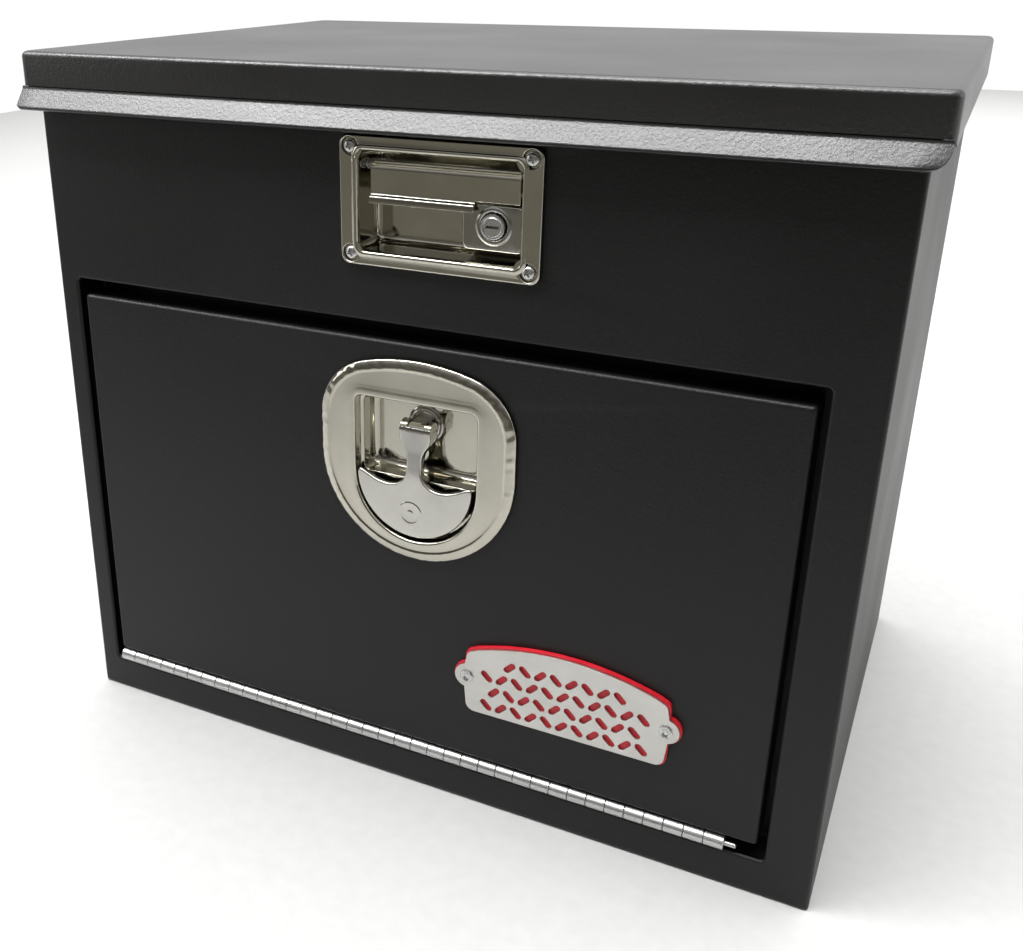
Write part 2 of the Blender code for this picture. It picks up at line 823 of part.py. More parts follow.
def build_paddle_plate():
    gasket = 0.8
    rear = FIT_GAP + gasket + FIT_GAP
    thickness = PLATE_PROUD - rear
    half_width, half_height = PLATE_WIDTH / 2, PLATE_HEIGHT / 2
    outer = rounded_rectangle(-half_width, half_width, -half_height, half_height, 6)
    plate = outline_solid(
        "paddle_latch_dish",
        [outer],
        thickness,
        (PLATE_X, -rear - thickness / 2, PLATE_Z),
        FACING_FRONT,
        POLISHED,
    )
    left, right, low, high = POCKET_LEFT, POCKET_RIGHT, POCKET_BOTTOM, POCKET_TOP
    cup_depth = POCKET_DEPTH + CUP_WALL
    cup = outline_solid(
        "latch_cup",
        [rounded_rectangle(left - CUP_WALL, right + CUP_WALL, low - CUP_WALL, high + CUP_WALL, 6)],
        cup_depth + rear + 1,
        (PLATE_X, (cup_depth - rear - 1) / 2, PLATE_Z),
        FACING_FRONT,
    )
    pocket = outline_solid(
        "latch_pocket",
        [rounded_rectangle(left, right, low, high, 5)],
        POCKET_DEPTH + 10,
        (PLATE_X, POCKET_DEPTH / 2 - 5, PLATE_Z),
        FACING_FRONT,
    )
    block_face = 5.2
    block = outline_solid(
        "lock_block",
        [rounded_rectangle(LOCK_BLOCK_LEFT, right + 0.6, -24, 3.5, 4, 3)],
        POCKET_DEPTH + 0.6 - block_face,
        (PLATE_X, (POCKET_DEPTH + 0.6 + block_face) / 2, PLATE_Z),
        FACING_FRONT,
    )
    lock_bore = cylinder(
        "lock_bore", LOCK_RADIUS + FIT_GAP, 60, (LOCK_X, 0, LOCK_Z), "Y", sides=20
    )
    arm_slot = box(
        "paddle_arm_slot",
        (PLATE_X - 7, 3, PLATE_Z + high - 4),
        (PLATE_X + 7, 19, PLATE_Z + high + 6),
    )
    screw_holes = [
        cylinder(f"screw_hole_{i}", 2.3, 12, (x, -rear, z), "Y", sides=12)
        for i, (x, z) in enumerate(screw_places())
    ]
    combine(plate, [cup])
    combine(plate, [pocket], "DIFFERENCE")
    combine(plate, [block])
    combine(plate, [lock_bore, arm_slot] + screw_holes, "DIFFERENCE")
    smooth(plate)
    inner = rounded_rectangle(
        left - CUP_WALL - 0.6, right + CUP_WALL + 0.6, low - CUP_WALL - 0.6, high + CUP_WALL + 0.6, 6
    )
    inset = 1.0
    outer = rounded_rectangle(
        inset - half_width, half_width - inset, inset - half_height, half_height - inset, 5
    )
    holes = [arc(x - PLATE_X, z - PLATE_Z, 2.6, 0, 315, 7) for x, z in screw_places()]
    outline_solid(
        "paddle_latch_gasket",
        [outer, inner] + holes,
        gasket,
        (PLATE_X, -FIT_GAP - gasket / 2, PLATE_Z),
        FACING_FRONT,
        RUBBER,
    )


def screw_places():
    inset = 7.0
    half_width, half_height = PLATE_WIDTH / 2 - inset, PLATE_HEIGHT / 2 - inset
    return [
        (PLATE_X + a * half_width, PLATE_Z + b * half_height)
        for b in (1, -1)
        for a in (-1, 1)
    ]


def build_latch_screws():
    """Pan-head screws; each shank stops in front of the sheet it is threaded into."""
    head, shank = 1.6, 1.7
    names = ("upper_left", "upper_right", "lower_left", "lower_right")
    for name, (x, z) in zip(names, screw_places()):
        face = -PLATE_PROUD - FIT_GAP
        screw = cylinder(
            f"latch_screw_{name}", 4.2, head, (x, face - head / 2, z), "Y", ZINC, sides=16
        )
        stem = cylinder(
            f"{name}_stem", shank, 3.2, (x, face - 0.4 + 1.6, z), "Y", sides=10
        )
        combine(screw, [stem])


def build_paddle():
    face = 3.0
    plate = 1.6
    where = (PLATE_X, PADDLE_AXIS_Y, PADDLE_AXIS_Z)
    left, right, step = -46.0, 48.5, 21.0
    top, low, step_low = 22.5, -1.5, 4.3
    rise = PADDLE_AXIS_Z - PLATE_Z
    outline = [
        (left, low),
        (step - 4, low),
        (step, step_low),
        (right, step_low),
        (right, top),
        (left, top),
    ]
    outline = [(a, b - rise) for a, b in outline]
    paddle = outline_solid("paddle", [outline], plate, where, FACING_FRONT, POLISHED)
    paddle.data.transform(Matrix.Translation((0, (face + plate / 2 - PADDLE_AXIS_Y) * UNIT, 0)))
    inset = 0.4
    start, end = PLATE_X + left + inset, PLATE_X + right - inset
    barrel = cylinder(
        "paddle_barrel", 3.6, end - start - inset, ((start + end) / 2, *where[1:]), "X"
    )
    fold = box(
        "paddle_fold",
        (start, face + inset, PLATE_Z + top - 1.9),
        (end, PADDLE_AXIS_Y + 1.1, PLATE_Z + top - 0.2),
    )
    web = box(
        "paddle_web",
        (start + inset / 2, face + 0.8, PADDLE_AXIS_Z - 1.5),
        (end - inset / 2, PADDLE_AXIS_Y, PADDLE_AXIS_Z + 1.5),
    )
    lip = box(
        "paddle_lip",
        (start, face + 0.7, PLATE_Z + low + 0.2),
        (PLATE_X + LOCK_BLOCK_LEFT - 0.6, face + 7.5, PLATE_Z + low + 1.9),
    )
    arm = box(
        "paddle_arm",
        (PLATE_X - 4, PADDLE_AXIS_Y - 2.2, PADDLE_AXIS_Z),
        (PLATE_X + 4, PADDLE_AXIS_Y + 2.2, PADDLE_AXIS_Z + 16),
    )
    bore = cylinder("paddle_bore", 1.9, 130, where, "X", sides=12)
    combine(paddle, [web, barrel, fold, lip, arm])
    combine(paddle, [bore], "DIFFERENCE")
    smooth(paddle)
    cylinder(
        "paddle_pin",
        1.5,
        POCKET_RIGHT - POCKET_LEFT - 2 * FIT_GAP,
        (PLATE_X + (POCKET_LEFT + POCKET_RIGHT) / 2, *where[1:]),
        "X",
        SATIN,
        sides=12,
    )


def build_paddle_spring():
    """A torsion coil round the pin's left end, between the paddle and the pocket's wall."""
    turns, per_turn = 2, 10
    wire, radius = 0.4, 2.4
    start = PLATE_X + POCKET_LEFT + 0.8
    run = 3.4
    curve = bpy.data.curves.new("paddle_spring", "CURVE")
    curve.dimensions = "3D"
    curve.bevel_depth = wire * UNIT
    curve.bevel_resolution = 1
    curve.use_fill_caps = True
    spline = curve.splines.new("POLY")
    count = turns * per_turn
    spline.points.add(count)
    for i, point in enumerate(spline.points):
        turn = 2 * pi * i / per_turn
        place_x = run * i / count
        point.co = (place_x * UNIT, radius * cos(turn) * UNIT, radius * sin(turn) * UNIT, 1)
    obj = bpy.data.objects.new("paddle_spring", curve)
    obj.location = place(start, PADDLE_AXIS_Y, PADDLE_AXIS_Z)
    curve.materials.append(bpy.data.materials[ZINC[0]])
    parts.objects.link(obj)


def build_latch_hook():
    rear = POCKET_DEPTH + CUP_WALL + FIT_GAP
    base = box(
        "hook_bracket",
        (PLATE_X - 9, rear, PLATE_Z + 4),
        (PLATE_X + 9, rear + 1.6, PLATE_Z + 26),
        ZINC,
    )
    ears = [
        box(
            f"hook_bracket_ear_{i}",
            (x, rear + 0.5, PLATE_Z + 8),
            (x + 1.8, HOOK_AXIS_Y + 5, PLATE_Z + 22),
        )
        for i, x in enumerate((PLATE_X - 9, PLATE_X + 7.2))
    ]
    bore = cylinder(
        "hook_bracket_bore", 2.3, 40, (PLATE_X, HOOK_AXIS_Y, HOOK_AXIS_Z), "X", sides=12
    )
    combine(base, ears)
    combine(base, [bore], "DIFFERENCE")
    cylinder(
        "hook_pin", 2.0, 18, (PLATE_X, HOOK_AXIS_Y, HOOK_AXIS_Z), "X", ZINC, sides=12
    )
    foot = arc(0, 0, 4.6, 160, 380, 8)
    stem = [(4.2, 36), (1.0, 43.5), (-5.0, 41.5), (-5.0, 36.5), (-2.5, 34), (-3.6, 20)]
    hole = arc(0, 0, 2.3, 0, 330, 11)
    outline_solid(
        "latch_hook",
        [foot + stem, hole],
        6.0,
        (PLATE_X, HOOK_AXIS_Y, HOOK_AXIS_Z),
        FACING_SIDE,
        ZINC,
    )


def build_lock():
    face = 2.6
    end = POCKET_DEPTH + CUP_WALL + 6
    lock = cylinder(
        "paddle_lock_cylinder",
        LOCK_RADIUS,
        end - face,
        (LOCK_X, (face + end) / 2, LOCK_Z),
        "Y",
        SATIN,
        sides=20,
    )
    keyway = box("keyway", (LOCK_X - 4, face - 1, LOCK_Z - 0.7), (LOCK_X + 4, face + 5, LOCK_Z + 0.7))
    combine(lock, [keyway], "DIFFERENCE")


# ---------------------------------------------------------------- badge


def badge_outline(grow=0.0):
    """An arched plate with a round ear at each end."""
    half, ear_reach, ear = 66.5, 66.0, 8.5 + grow
    bottom, shoulder, crown = -26.0 - grow, 20.5 + grow, 31.0 + grow
    corner = 6.0
    half += grow
    rise = crown - shoulder
    inner = half - corner
    radius = (inner**2 + rise**2) / (2 * rise)
    spread = atan2(inner, radius - rise) * 180 / pi
    right_side = (
        arc(half - corner, bottom + corner, corner, -90, 0, 3)
        + arc(ear_reach, 0, ear, -78, 78, 8)
        + arc(half - corner + 1, shoulder - corner, corner - 1, 0, 80, 3)
    )
    top = arc(0, crown - radius, radius, 90 - spread, 90, 6)
    right_half = right_side + top
    left_half = [(-a, b) for a, b in reversed(right_half[:-1])]
    return right_half + left_half


def tread_slots():
    """Short slanted slots in staggered rows, like tread plate."""
    length, half_width, step, row_step = 9.8, 2.2, 10.4, 11.0
    run = length / 2 - half_width
    end = arc(run, 0, half_width, -90, 90, 3)
    shape = end + [(-a, -b) for a, b in end]
    slots = []
    for row, count in enumerate((11, 10, 11, 8)):
        for i in range(count):
            a = (i - (count - 1) / 2) * step
            b = -18.5 + row * row_step
            turn = radians(45 if (i + row) % 2 else -45)
            slots.append(
                [(a + u * cos(turn) - v * sin(turn), b + u * sin(turn) + v * cos(turn)) for u, v in shape]
            )
    return slots


def build_badge():
    rear = FIT_GAP
    outline_solid(
        "badge_backing",
        [badge_outline(1.0)],
        BADGE_THICKNESS,
        (BADGE_X, -rear - BADGE_THICKNESS / 2, BADGE_Z),
        FACING_FRONT,
        RED,
    )
    face_rear = rear + BADGE_THICKNESS + FIT_GAP
    outline_solid(
        "badge_face",
        [badge_outline()] + tread_slots(),
        BADGE_FACE_THICKNESS,
        (BADGE_X, -face_rear - BADGE_FACE_THICKNESS / 2, BADGE_Z),
        FACING_FRONT,
        SATIN,
    )
    front = face_rear + BADGE_FACE_THICKNESS + FIT_GAP
    for side, x in (("left", -66.0), ("right", 66.0)):
        cylinder(
            f"badge_{side}_rivet",
            3.6,
            1.0,
            (BADGE_X + x, -front - 0.5, BADGE_Z),
            "Y",
            SATIN,
            sides=16,
        )


# ---------------------------------------------------------------- gas strut


def build_strut():
    run_y, run_z = STRUT_LID_Y - STRUT_BODY_Y, STRUT_LID_Z - STRUT_BODY_Z
    length = hypot(run_y, run_z)
    tilt = atan2(run_z, run_y)
    turn = Matrix.Rotation(tilt, 4, "X")
    eye = 5.0
    tube, rod = 7.5, 3.0
    tube_length = 150.0

    def along(name, radius, start, end, finish=None, sides=16):
        obj = cylinder(name, radius, end - start, (0, 0, 0), "Y", finish, sides)
        obj.data.transform(Matrix.Translation((0, (start + end) / 2 * UNIT, 0)))
        obj.data.transform(turn)
        obj.location = place(STRUT_X, STRUT_BODY_Y, STRUT_BODY_Z)
        return obj

    tube_obj = along("strut_cylinder", tube, eye + 3, tube_length, BLACK_TUBE)
    neck = along("strut_cylinder_neck", 3.0, 2, eye + 5, sides=10)
    boss = cylinder(
        "strut_cylinder_eye", eye, 8, (STRUT_X, STRUT_BODY_Y, STRUT_BODY_Z), "X", sides=16
    )
    bore = cylinder(
        "strut_cylinder_bore", 2.6, 30, (STRUT_X, STRUT_BODY_Y, STRUT_BODY_Z), "X", sides=12
    )
    rod_bore = along("strut_tube_bore", rod + 0.4, tube_length - 110, tube_length + 5, sides=12)
    combine(tube_obj, [neck, boss])
    combine(tube_obj, [bore, rod_bore], "DIFFERENCE")
    smooth(tube_obj)
    rod_obj = along("strut_rod", rod, tube_length - 108, length - 2, ZINC, sides=12)
    lid_boss = cylinder(
        "strut_rod_eye", eye, 8, (STRUT_X, STRUT_LID_Y, STRUT_LID_Z), "X", sides=16
    )
    combine(rod_obj, [lid_boss])
    smooth(rod_obj)
    wall = SHEET + FIT_GAP
    foot = box(
        "strut_body_bracket",
        (wall, STRUT_BODY_Y - 16, STRUT_BODY_Z - 10),
        (wall + 2, STRUT_BODY_Y + 16, STRUT_BODY_Z + 10),
        ZINC,
    )
    boss = cylinder(
        "strut_body_boss",
        5.0,
        STRUT_X - 5 - wall,
        ((STRUT_X - 5 + wall + 1) / 2, STRUT_BODY_Y, STRUT_BODY_Z),
        "X",
        sides=14,
    )
    stud = cylinder(
        "strut_body_stud",
        2.2,
        STRUT_X + 4 - wall,
        ((STRUT_X + 5 + wall) / 2, STRUT_BODY_Y, STRUT_BODY_Z),
        "X",
        sides=12,
    )
    combine(foot, [boss, stud])
    top = OVERALL_HEIGHT - SHEET - FIT_GAP
    inner = STRUT_X + 5.5
    bracket = box(
        "strut_lid_bracket",
        (inner, STRUT_LID_Y - 14, top - 2),
        (inner + 16, STRUT_LID_Y + 14, top),
        ZINC,
    )
    leg = box(
        "strut_lid_bracket_leg",
        (inner, STRUT_LID_Y - 8, STRUT_LID_Z - 7),
        (inner + 2, STRUT_LID_Y + 8, top - 0.5),
    )
    stud_end = STRUT_X + 4.0 + 0.4
    stud = cylinder(
        "strut_lid_stud",
        eye - 1,
        inner + 0.5 - stud_end,
        ((inner + 0.5 + stud_end) / 2, STRUT_LID_Y, STRUT_LID_Z),
        "X",
        sides=12,
    )
    combine(bracket, [leg, stud])


# ---------------------------------------------------------------- moving pieces


def hang(axis_name, where, nodes, parent=None):
    """Parents pieces to an empty that stands on their joint's axis."""
    axis = bpy.data.objects.new(axis_name, None)
    axis.empty_display_size = 0.02
    axis.location = place(*where)
    parts.objects.link(axis)
    if parent:
        axis.parent = parent
        axis.location -= parent_place(parent)
    for node in nodes:
        piece = bpy.data.objects[node]
        piece.parent = axis
        piece.location -= place(*where)
    return axis


def parent_place(obj):
    """Where an unrotated object stands in the scene."""
    spot = obj.location.copy()
    while obj.parent:
        obj = obj.parent
        spot += obj.location
    return spot


def hang_moving_pieces():
    middle = BODY_WIDTH / 2
    lid = ["lid_panel", "lid_stiffener", "lid_striker", "lid_hinge_moving_leaf"]
    hang("lid_axis", (middle, LID_HINGE_Y, LID_HINGE_Z), lid + ["strut_lid_bracket"])
    door = ["door_panel", "door_hinge_moving_leaf", "t_handle_dish", "t_handle_gasket"]
    badge = ["badge_backing", "badge_face", "badge_left_rivet", "badge_right_rivet"]
    door_axis = hang("door_axis", (middle, DOOR_HINGE_Y, DOOR_HINGE_Z), door + badge)
    turning = ["t_handle_spindle", "t_handle_cam", "t_handle_nut", "t_handle_pivot_pin"]
    turn_axis = hang("t_handle_turn_axis", (DISH_X, FOLD_Y, SPINDLE_Z), turning, door_axis)
    hang("t_handle_fold_axis", (DISH_X, FOLD_Y, SPINDLE_Z), ["t_handle_grip"], turn_axis)
    hang("paddle_axis", (PLATE_X, PADDLE_AXIS_Y, PADDLE_AXIS_Z), ["paddle"])
    hang("hook_axis", (PLATE_X, HOOK_AXIS_Y, HOOK_AXIS_Z), ["latch_hook"])
    hang("lock_axis", (LOCK_X, 0, LOCK_Z), ["paddle_lock_cylinder"])
    strut = (STRUT_X, STRUT_BODY_Y, STRUT_BODY_Z)
    hang("strut_axis", strut, ["strut_cylinder", "strut_rod"])


clear_scene()
parts = collection(PARTS)
cutters = collection("cutters", hidden=True)
for finish in (COAT, POLISHED, SATIN, RUBBER, ZINC, RED, BLACK_TUBE):
    material(*finish)
build_cabinet()
build_door_frame()
build_seals()
build_lid()
build_striker()
build_door()
build_hinges()
build_t_handle_dish()
build_t_handle_spindle()
build_t_handle_grip()
build_paddle_plate()
build_latch_screws()
build_paddle()
build_paddle_spring()
build_latch_hook()
build_lock()
build_badge()
build_strut()
hang_moving_pieces()
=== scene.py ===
"""The looks of the truck tool box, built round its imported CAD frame.

Lengths are in millimetres from the cabinet's own corner: x from its left side, y back from its
front face, z up from the floor. Pieces are turned to metres as they are made.
"""

import json
from math import asin, atan2, cos, degrees, hypot, pi, radians, sin, sqrt

import bmesh
import bpy
from mathutils import Matrix, Vector


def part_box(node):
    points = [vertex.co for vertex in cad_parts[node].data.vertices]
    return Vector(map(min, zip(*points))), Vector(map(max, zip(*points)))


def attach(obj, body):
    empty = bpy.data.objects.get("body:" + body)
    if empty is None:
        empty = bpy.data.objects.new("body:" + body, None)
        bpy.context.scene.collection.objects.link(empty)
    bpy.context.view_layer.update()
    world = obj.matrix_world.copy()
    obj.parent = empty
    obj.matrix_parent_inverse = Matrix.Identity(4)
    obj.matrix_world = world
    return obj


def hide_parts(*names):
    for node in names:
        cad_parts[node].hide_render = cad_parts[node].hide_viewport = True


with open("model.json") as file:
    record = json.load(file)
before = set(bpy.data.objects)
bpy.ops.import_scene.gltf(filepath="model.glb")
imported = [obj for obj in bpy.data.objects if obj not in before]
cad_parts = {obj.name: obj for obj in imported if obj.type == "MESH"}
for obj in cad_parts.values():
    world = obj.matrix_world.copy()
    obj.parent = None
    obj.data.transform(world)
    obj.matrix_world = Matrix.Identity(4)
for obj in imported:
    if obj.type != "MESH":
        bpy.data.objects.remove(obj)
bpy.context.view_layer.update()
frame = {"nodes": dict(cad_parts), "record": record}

MM = 0.001
ORIGIN = Vector(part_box("left_side_panel")[0]) / MM
ORIGIN.z = 0.0
TO_SCENE = Matrix.Scale(MM, 4) @ Matrix.Translation(ORIGIN)


def mm_box(node):
    low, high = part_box(node)
    return Vector(low) / MM - ORIGIN, Vector(high) / MM - ORIGIN


SHEET = 1.9
FRONT = (0, -1, 0)
BODY = (mm_box("left_side_panel")[0], mm_box("right_side_panel")[1])
WIDTH, DEPTH, RIM = BODY[1].x, BODY[1].y, BODY[1].z
OPENING = (
    mm_box("front_left_jamb")[1].x,
    mm_box("front_right_jamb")[0].x,
    mm_box("front_sill_panel")[1].z,
    mm_box("front_header_panel")[0].z,
)
FRAME_DEPTH = mm_box("door_frame_top")[1].y
LID_LOW, LID_HIGH = mm_box("lid_panel")
DOOR_LOW, DOOR_HIGH = mm_box("door_panel")
DISH_LOW, DISH_HIGH = mm_box("t_handle_dish")
PLATE_LOW, PLATE_HIGH = mm_box("paddle_latch_dish")
BADGE_LOW, BADGE_HIGH = mm_box("badge_face")

# ---- camera, light and floor

CAMERA_PLACE = (0.3008, -0.7930, 0.5461)
CAMERA_TURN = (67.94, 0.30, 27.30)
CAMERA_LENS = 41.08
CAMERA_SHIFT = (0.1188, -0.0503)


def add_camera():
    data = bpy.data.cameras.new("camera")
    data.lens = CAMERA_LENS
    data.shift_x, data.shift_y = CAMERA_SHIFT
    data.clip_start = 0.01
    camera = bpy.data.objects.new("camera", data)
    camera.location = CAMERA_PLACE
    camera.rotation_euler = [radians(a) for a in CAMERA_TURN]
    bpy.context.scene.collection.objects.link(camera)
    bpy.context.scene.camera = camera


def turn_along_x(toward):
    """A turn that looks along toward, with the light's length as near to the X axis as it goes."""
    side = (Vector((1, 0, 0)) - toward * toward.x).normalized()
    return Matrix((side, (-toward).cross(side), -toward)).transposed().to_euler()


def add_light(name, place, aim, size, power, spread=180, colour=(1, 1, 1)):
    data = bpy.data.lights.new(name, "AREA")
    data.shape = "RECTANGLE"
    data.size, data.size_y = size
    data.energy = power
    data.color = colour
    data.spread = radians(spread)
    light = bpy.data.objects.new(name, data)
    light.location = place
    light.rotation_euler = turn_along_x((Vector(aim) - Vector(place)).normalized())
    bpy.context.scene.collection.objects.link(light)


def world_ramp(nodes, links, source, stops):
    """A colour ramp over a -1..1 source; stops are (position, colour) pairs."""
    stretch = nodes.new("ShaderNodeMapRange")
    stretch.inputs["From Min"].default_value = -1.0
    links.new(source, stretch.inputs["Value"])
    ramp = nodes.new("ShaderNodeValToRGB")
    elements = ramp.color_ramp.elements
    while len(elements) < len(stops):
        elements.new(0.5)
    for element, (position, colour) in zip(elements, stops):
        element.position = (position + 1) / 2
        element.color = (*colour, 1.0)
    links.new(stretch.outputs["Result"], ramp.inputs["Fac"])
    return ramp.outputs["Color"]


def add_world():
    """A plain studio: pale behind and above, dimmer and slightly warm in front and below."""
    world = bpy.data.worlds.new("studio")
    bpy.context.scene.world = world
    world.use_nodes = True
    nodes, links = world.node_tree.nodes, world.node_tree.links
    coords = nodes.new("ShaderNodeTexCoord").outputs["Generated"]
    split = nodes.new("ShaderNodeSeparateXYZ")
    links.new(coords, split.inputs["Vector"])
    height = split.outputs["Z"]
    front_stops = [
        (-0.5, (0.24, 0.23, 0.20)),
        (-0.12, (0.22, 0.21, 0.18)),
        (0.05, (0.10, 0.096, 0.088)),
        (0.3, (0.20, 0.198, 0.19)),
        (0.9, (0.85, 0.85, 0.85)),
    ]
    back_stops = [(-0.2, (1.02, 1.02, 1.02)), (0.9, (0.95, 0.95, 0.95))]
    front = world_ramp(nodes, links, height, front_stops)
    back = world_ramp(nodes, links, height, back_stops)
    side = world_ramp(nodes, links, split.outputs["Y"], [(-0.35, (0, 0, 0)), (0.15, (1, 1, 1))])
    blend = nodes.new("ShaderNodeMix")
    blend.data_type = "RGBA"
    colours = [socket for socket in blend.inputs if socket.type == "RGBA"]
    links.new(side, blend.inputs["Factor"])
    links.new(front, colours[0])
    links.new(back, colours[1])
    result = [socket for socket in blend.outputs if socket.type == "RGBA"][0]
    links.new(result, nodes["Background"].inputs["Color"])


FLOOR_SIZE = 6.0
FLOOR_FRONT = -1.2


def add_stage():
    add_world()
    centre = (0, FLOOR_FRONT + FLOOR_SIZE / 2, 0)
    bpy.ops.mesh.primitive_plane_add(size=FLOOR_SIZE, location=centre)
    floor = bpy.context.object
    floor.name = "floor"
    floor.data.materials.append(floor_material())
    add_light("strip", (-0.36, -0.53, 1.33), (0.0, -0.2, 0.46), (1.7, 0.24), 7.5, 90)
    add_light("overhead", (0.2, 2.1, 2.4), (0.2, 2.1, 0), (5.5, 4.6), 100, 80)
    add_light("front_left", (-1.9, -1.2, 0.9), (0, 0, 0.25), (0.5, 1.3), 5)
    add_light("right_side", (2.0, 0.2, 1.1), (0.2, 0, 0.25), (0.8, 1.2), 6, colour=(1.0, 0.93, 0.84))


# ---- materials


class Shader:
    """A Principled material and short ways to add nodes to it."""

    def __init__(self, name, roughness, metallic=0.0, **uniform):
        self.material = bpy.data.materials.new(name)
        self.material.use_nodes = True
        self.nodes = self.material.node_tree.nodes
        self.links = self.material.node_tree.links
        self.surface = self.nodes["Principled BSDF"]
        self.surface.inputs["Roughness"].default_value = roughness
        self.surface.inputs["Metallic"].default_value = metallic
        for socket, value in uniform.items():
            self.surface.inputs[socket.replace("_", " ")].default_value = value
        self.place = self.nodes.new("ShaderNodeTexCoord").outputs["Object"]

    def link(self, source, target):
        self.links.new(source, target)

    def scaled(self, x, y, z):
        mapping = self.nodes.new("ShaderNodeMapping")
        mapping.inputs["Scale"].default_value = (x, y, z)
        self.link(self.place, mapping.inputs["Vector"])
        return mapping.outputs["Vector"]

    def noise(self, scale, detail=2.0, vector=None, roughness=0.5):
        node = self.nodes.new("ShaderNodeTexNoise")
        node.inputs["Scale"].default_value = scale
        node.inputs["Detail"].default_value = detail
        node.inputs["Roughness"].default_value = roughness
        self.link(vector or self.place, node.inputs["Vector"])
        return node.outputs["Fac"]

    def ramp(self, source, low, high, start, end):
        """Maps a 0..1 source between two positions to a number or colour from start to end."""
        node = self.nodes.new("ShaderNodeValToRGB")
        for element, position, value in zip(node.color_ramp.elements, (low, high), (start, end)):
            element.position = position
            colour = value if hasattr(value, "__len__") else (value,) * 3
            element.color = (*colour, 1.0)
        self.link(source, node.inputs["Fac"])
        return node.outputs["Color"]

    def bump(self, source, strength, distance, normal=None):
        node = self.nodes.new("ShaderNodeBump")
        node.inputs["Strength"].default_value = strength
        node.inputs["Distance"].default_value = distance
        self.link(source, node.inputs["Height"])
        if normal:
            self.link(normal, node.inputs["Normal"])
        return node.outputs["Normal"]

    def mix(self, factor, first, second):
        """Blends two colours by a 0..1 source."""
        node = self.nodes.new("ShaderNodeMix")
        node.data_type = "RGBA"
        colours = [s for s in node.inputs if s.type == "RGBA"]
        self.link(factor, node.inputs["Factor"])
        for socket, colour in zip(colours, (first, second)):
            socket.default_value = (*colour, 1.0)
        return [s for s in node.outputs if s.type == "RGBA"][0]

    def set(self, **sockets):
        for socket, source in sockets.items():
            self.link(source, self.surface.inputs[socket.replace("_", " ")])
        return self.material


def floor_material():
    """A plain pale floor with a very fine grain."""
    made = Shader("studio_floor", 0.6)
    grain = made.noise(90, 4)
    return made.set(
        Base_Color=made.ramp(grain, 0.3, 0.7, (0.54, 0.54, 0.535), (0.57, 0.57, 0.565)),
        Normal=made.bump(grain, 0.05, 0.001),
    )


def powder_coat(name, specular, rough):
    """Satin black powder coat: orange peel, a fine grain and a faint cloudiness."""
    made = Shader(name, rough[0], Specular_IOR_Level=specular)
    peel = made.noise(520, 2, roughness=0.6)
    fine = made.noise(1500, 2)
    clouds = made.noise(6, 3)
    first = made.bump(peel, 0.55, 0.0004)
    return made.set(
        Base_Color=made.ramp(clouds, 0.3, 0.75, (0.0022, 0.0022, 0.0023), (0.004, 0.004, 0.0041)),
        Roughness=made.ramp(clouds, 0.3, 0.7, rough[0], rough[1]),
        Normal=made.bump(fine, 0.30, 0.0002, first),
    )


def polished(name, tint=(0.53, 0.51, 0.44), rough=(0.07, 0.16)):
    """Polished stainless: soft smears, a few fine wipes and a slight drawn waviness."""
    made = Shader(name, 0.1, 1.0)
    smear = made.noise(35, 5, roughness=0.65)
    wipes = made.noise(1.0, 3, made.scaled(60, 60, 900))
    waves = made.noise(28, 1)
    shade = tuple(c * 0.86 for c in tint)
    first = made.bump(waves, 0.10, 0.002)
    return made.set(
        Base_Color=made.ramp(smear, 0.3, 0.7, shade, tint),
        Roughness=made.ramp(smear, 0.35, 0.8, rough[0], rough[1]),
        Normal=made.bump(wipes, 0.03, 0.0003, first),
    )


def brushed(name, tint, along, rough, strength=0.18):
    """Brushed metal: fine lines along x, or an even grain for round pieces."""
    made = Shader(name, 0.3, 1.0)
    scale = {"x": (25, 1500, 1500), "round": (900, 900, 900)}[along]
    lines = made.noise(1.0, 3, made.scaled(*scale), 0.6)
    blotch = made.noise(40, 4)
    shade = tuple(c * 0.78 for c in tint)
    return made.set(
        Base_Color=made.mix(blotch, shade, tint),
        Roughness=made.ramp(lines, 0.3, 0.7, rough[0], rough[1]),
        Normal=made.bump(lines, strength, 0.0003),
    )


def rubber():
    made = Shader("seal_rubber", 0.7)
    grain = made.noise(1200, 3)
    return made.set(
        Base_Color=made.ramp(made.noise(50, 3), 0.3, 0.7, (0.012, 0.012, 0.012), (0.03, 0.03, 0.03)),
        Normal=made.bump(grain, 0.2, 0.0003),
    )


def red_coat():
    made = Shader("red_coat", 0.36)
    peel = made.noise(1100, 3)
    return made.set(
        Base_Color=made.ramp(made.noise(80, 3), 0.3, 0.7, (0.50, 0.008, 0.018), (0.66, 0.014, 0.03)),
        Roughness=made.ramp(peel, 0.3, 0.7, 0.3, 0.45),
        Normal=made.bump(peel, 0.15, 0.0003),
    )


def gloss_enamel():
    made = Shader("strut_enamel", 0.2)
    grain = made.noise(400, 3)
    return made.set(
        Base_Color=made.ramp(grain, 0.3, 0.7, (0.012, 0.012, 0.012), (0.02, 0.02, 0.02)),
        Roughness=made.ramp(made.noise(60, 3), 0.3, 0.7, 0.15, 0.28),
        Normal=made.bump(grain, 0.04, 0.0003),
    )


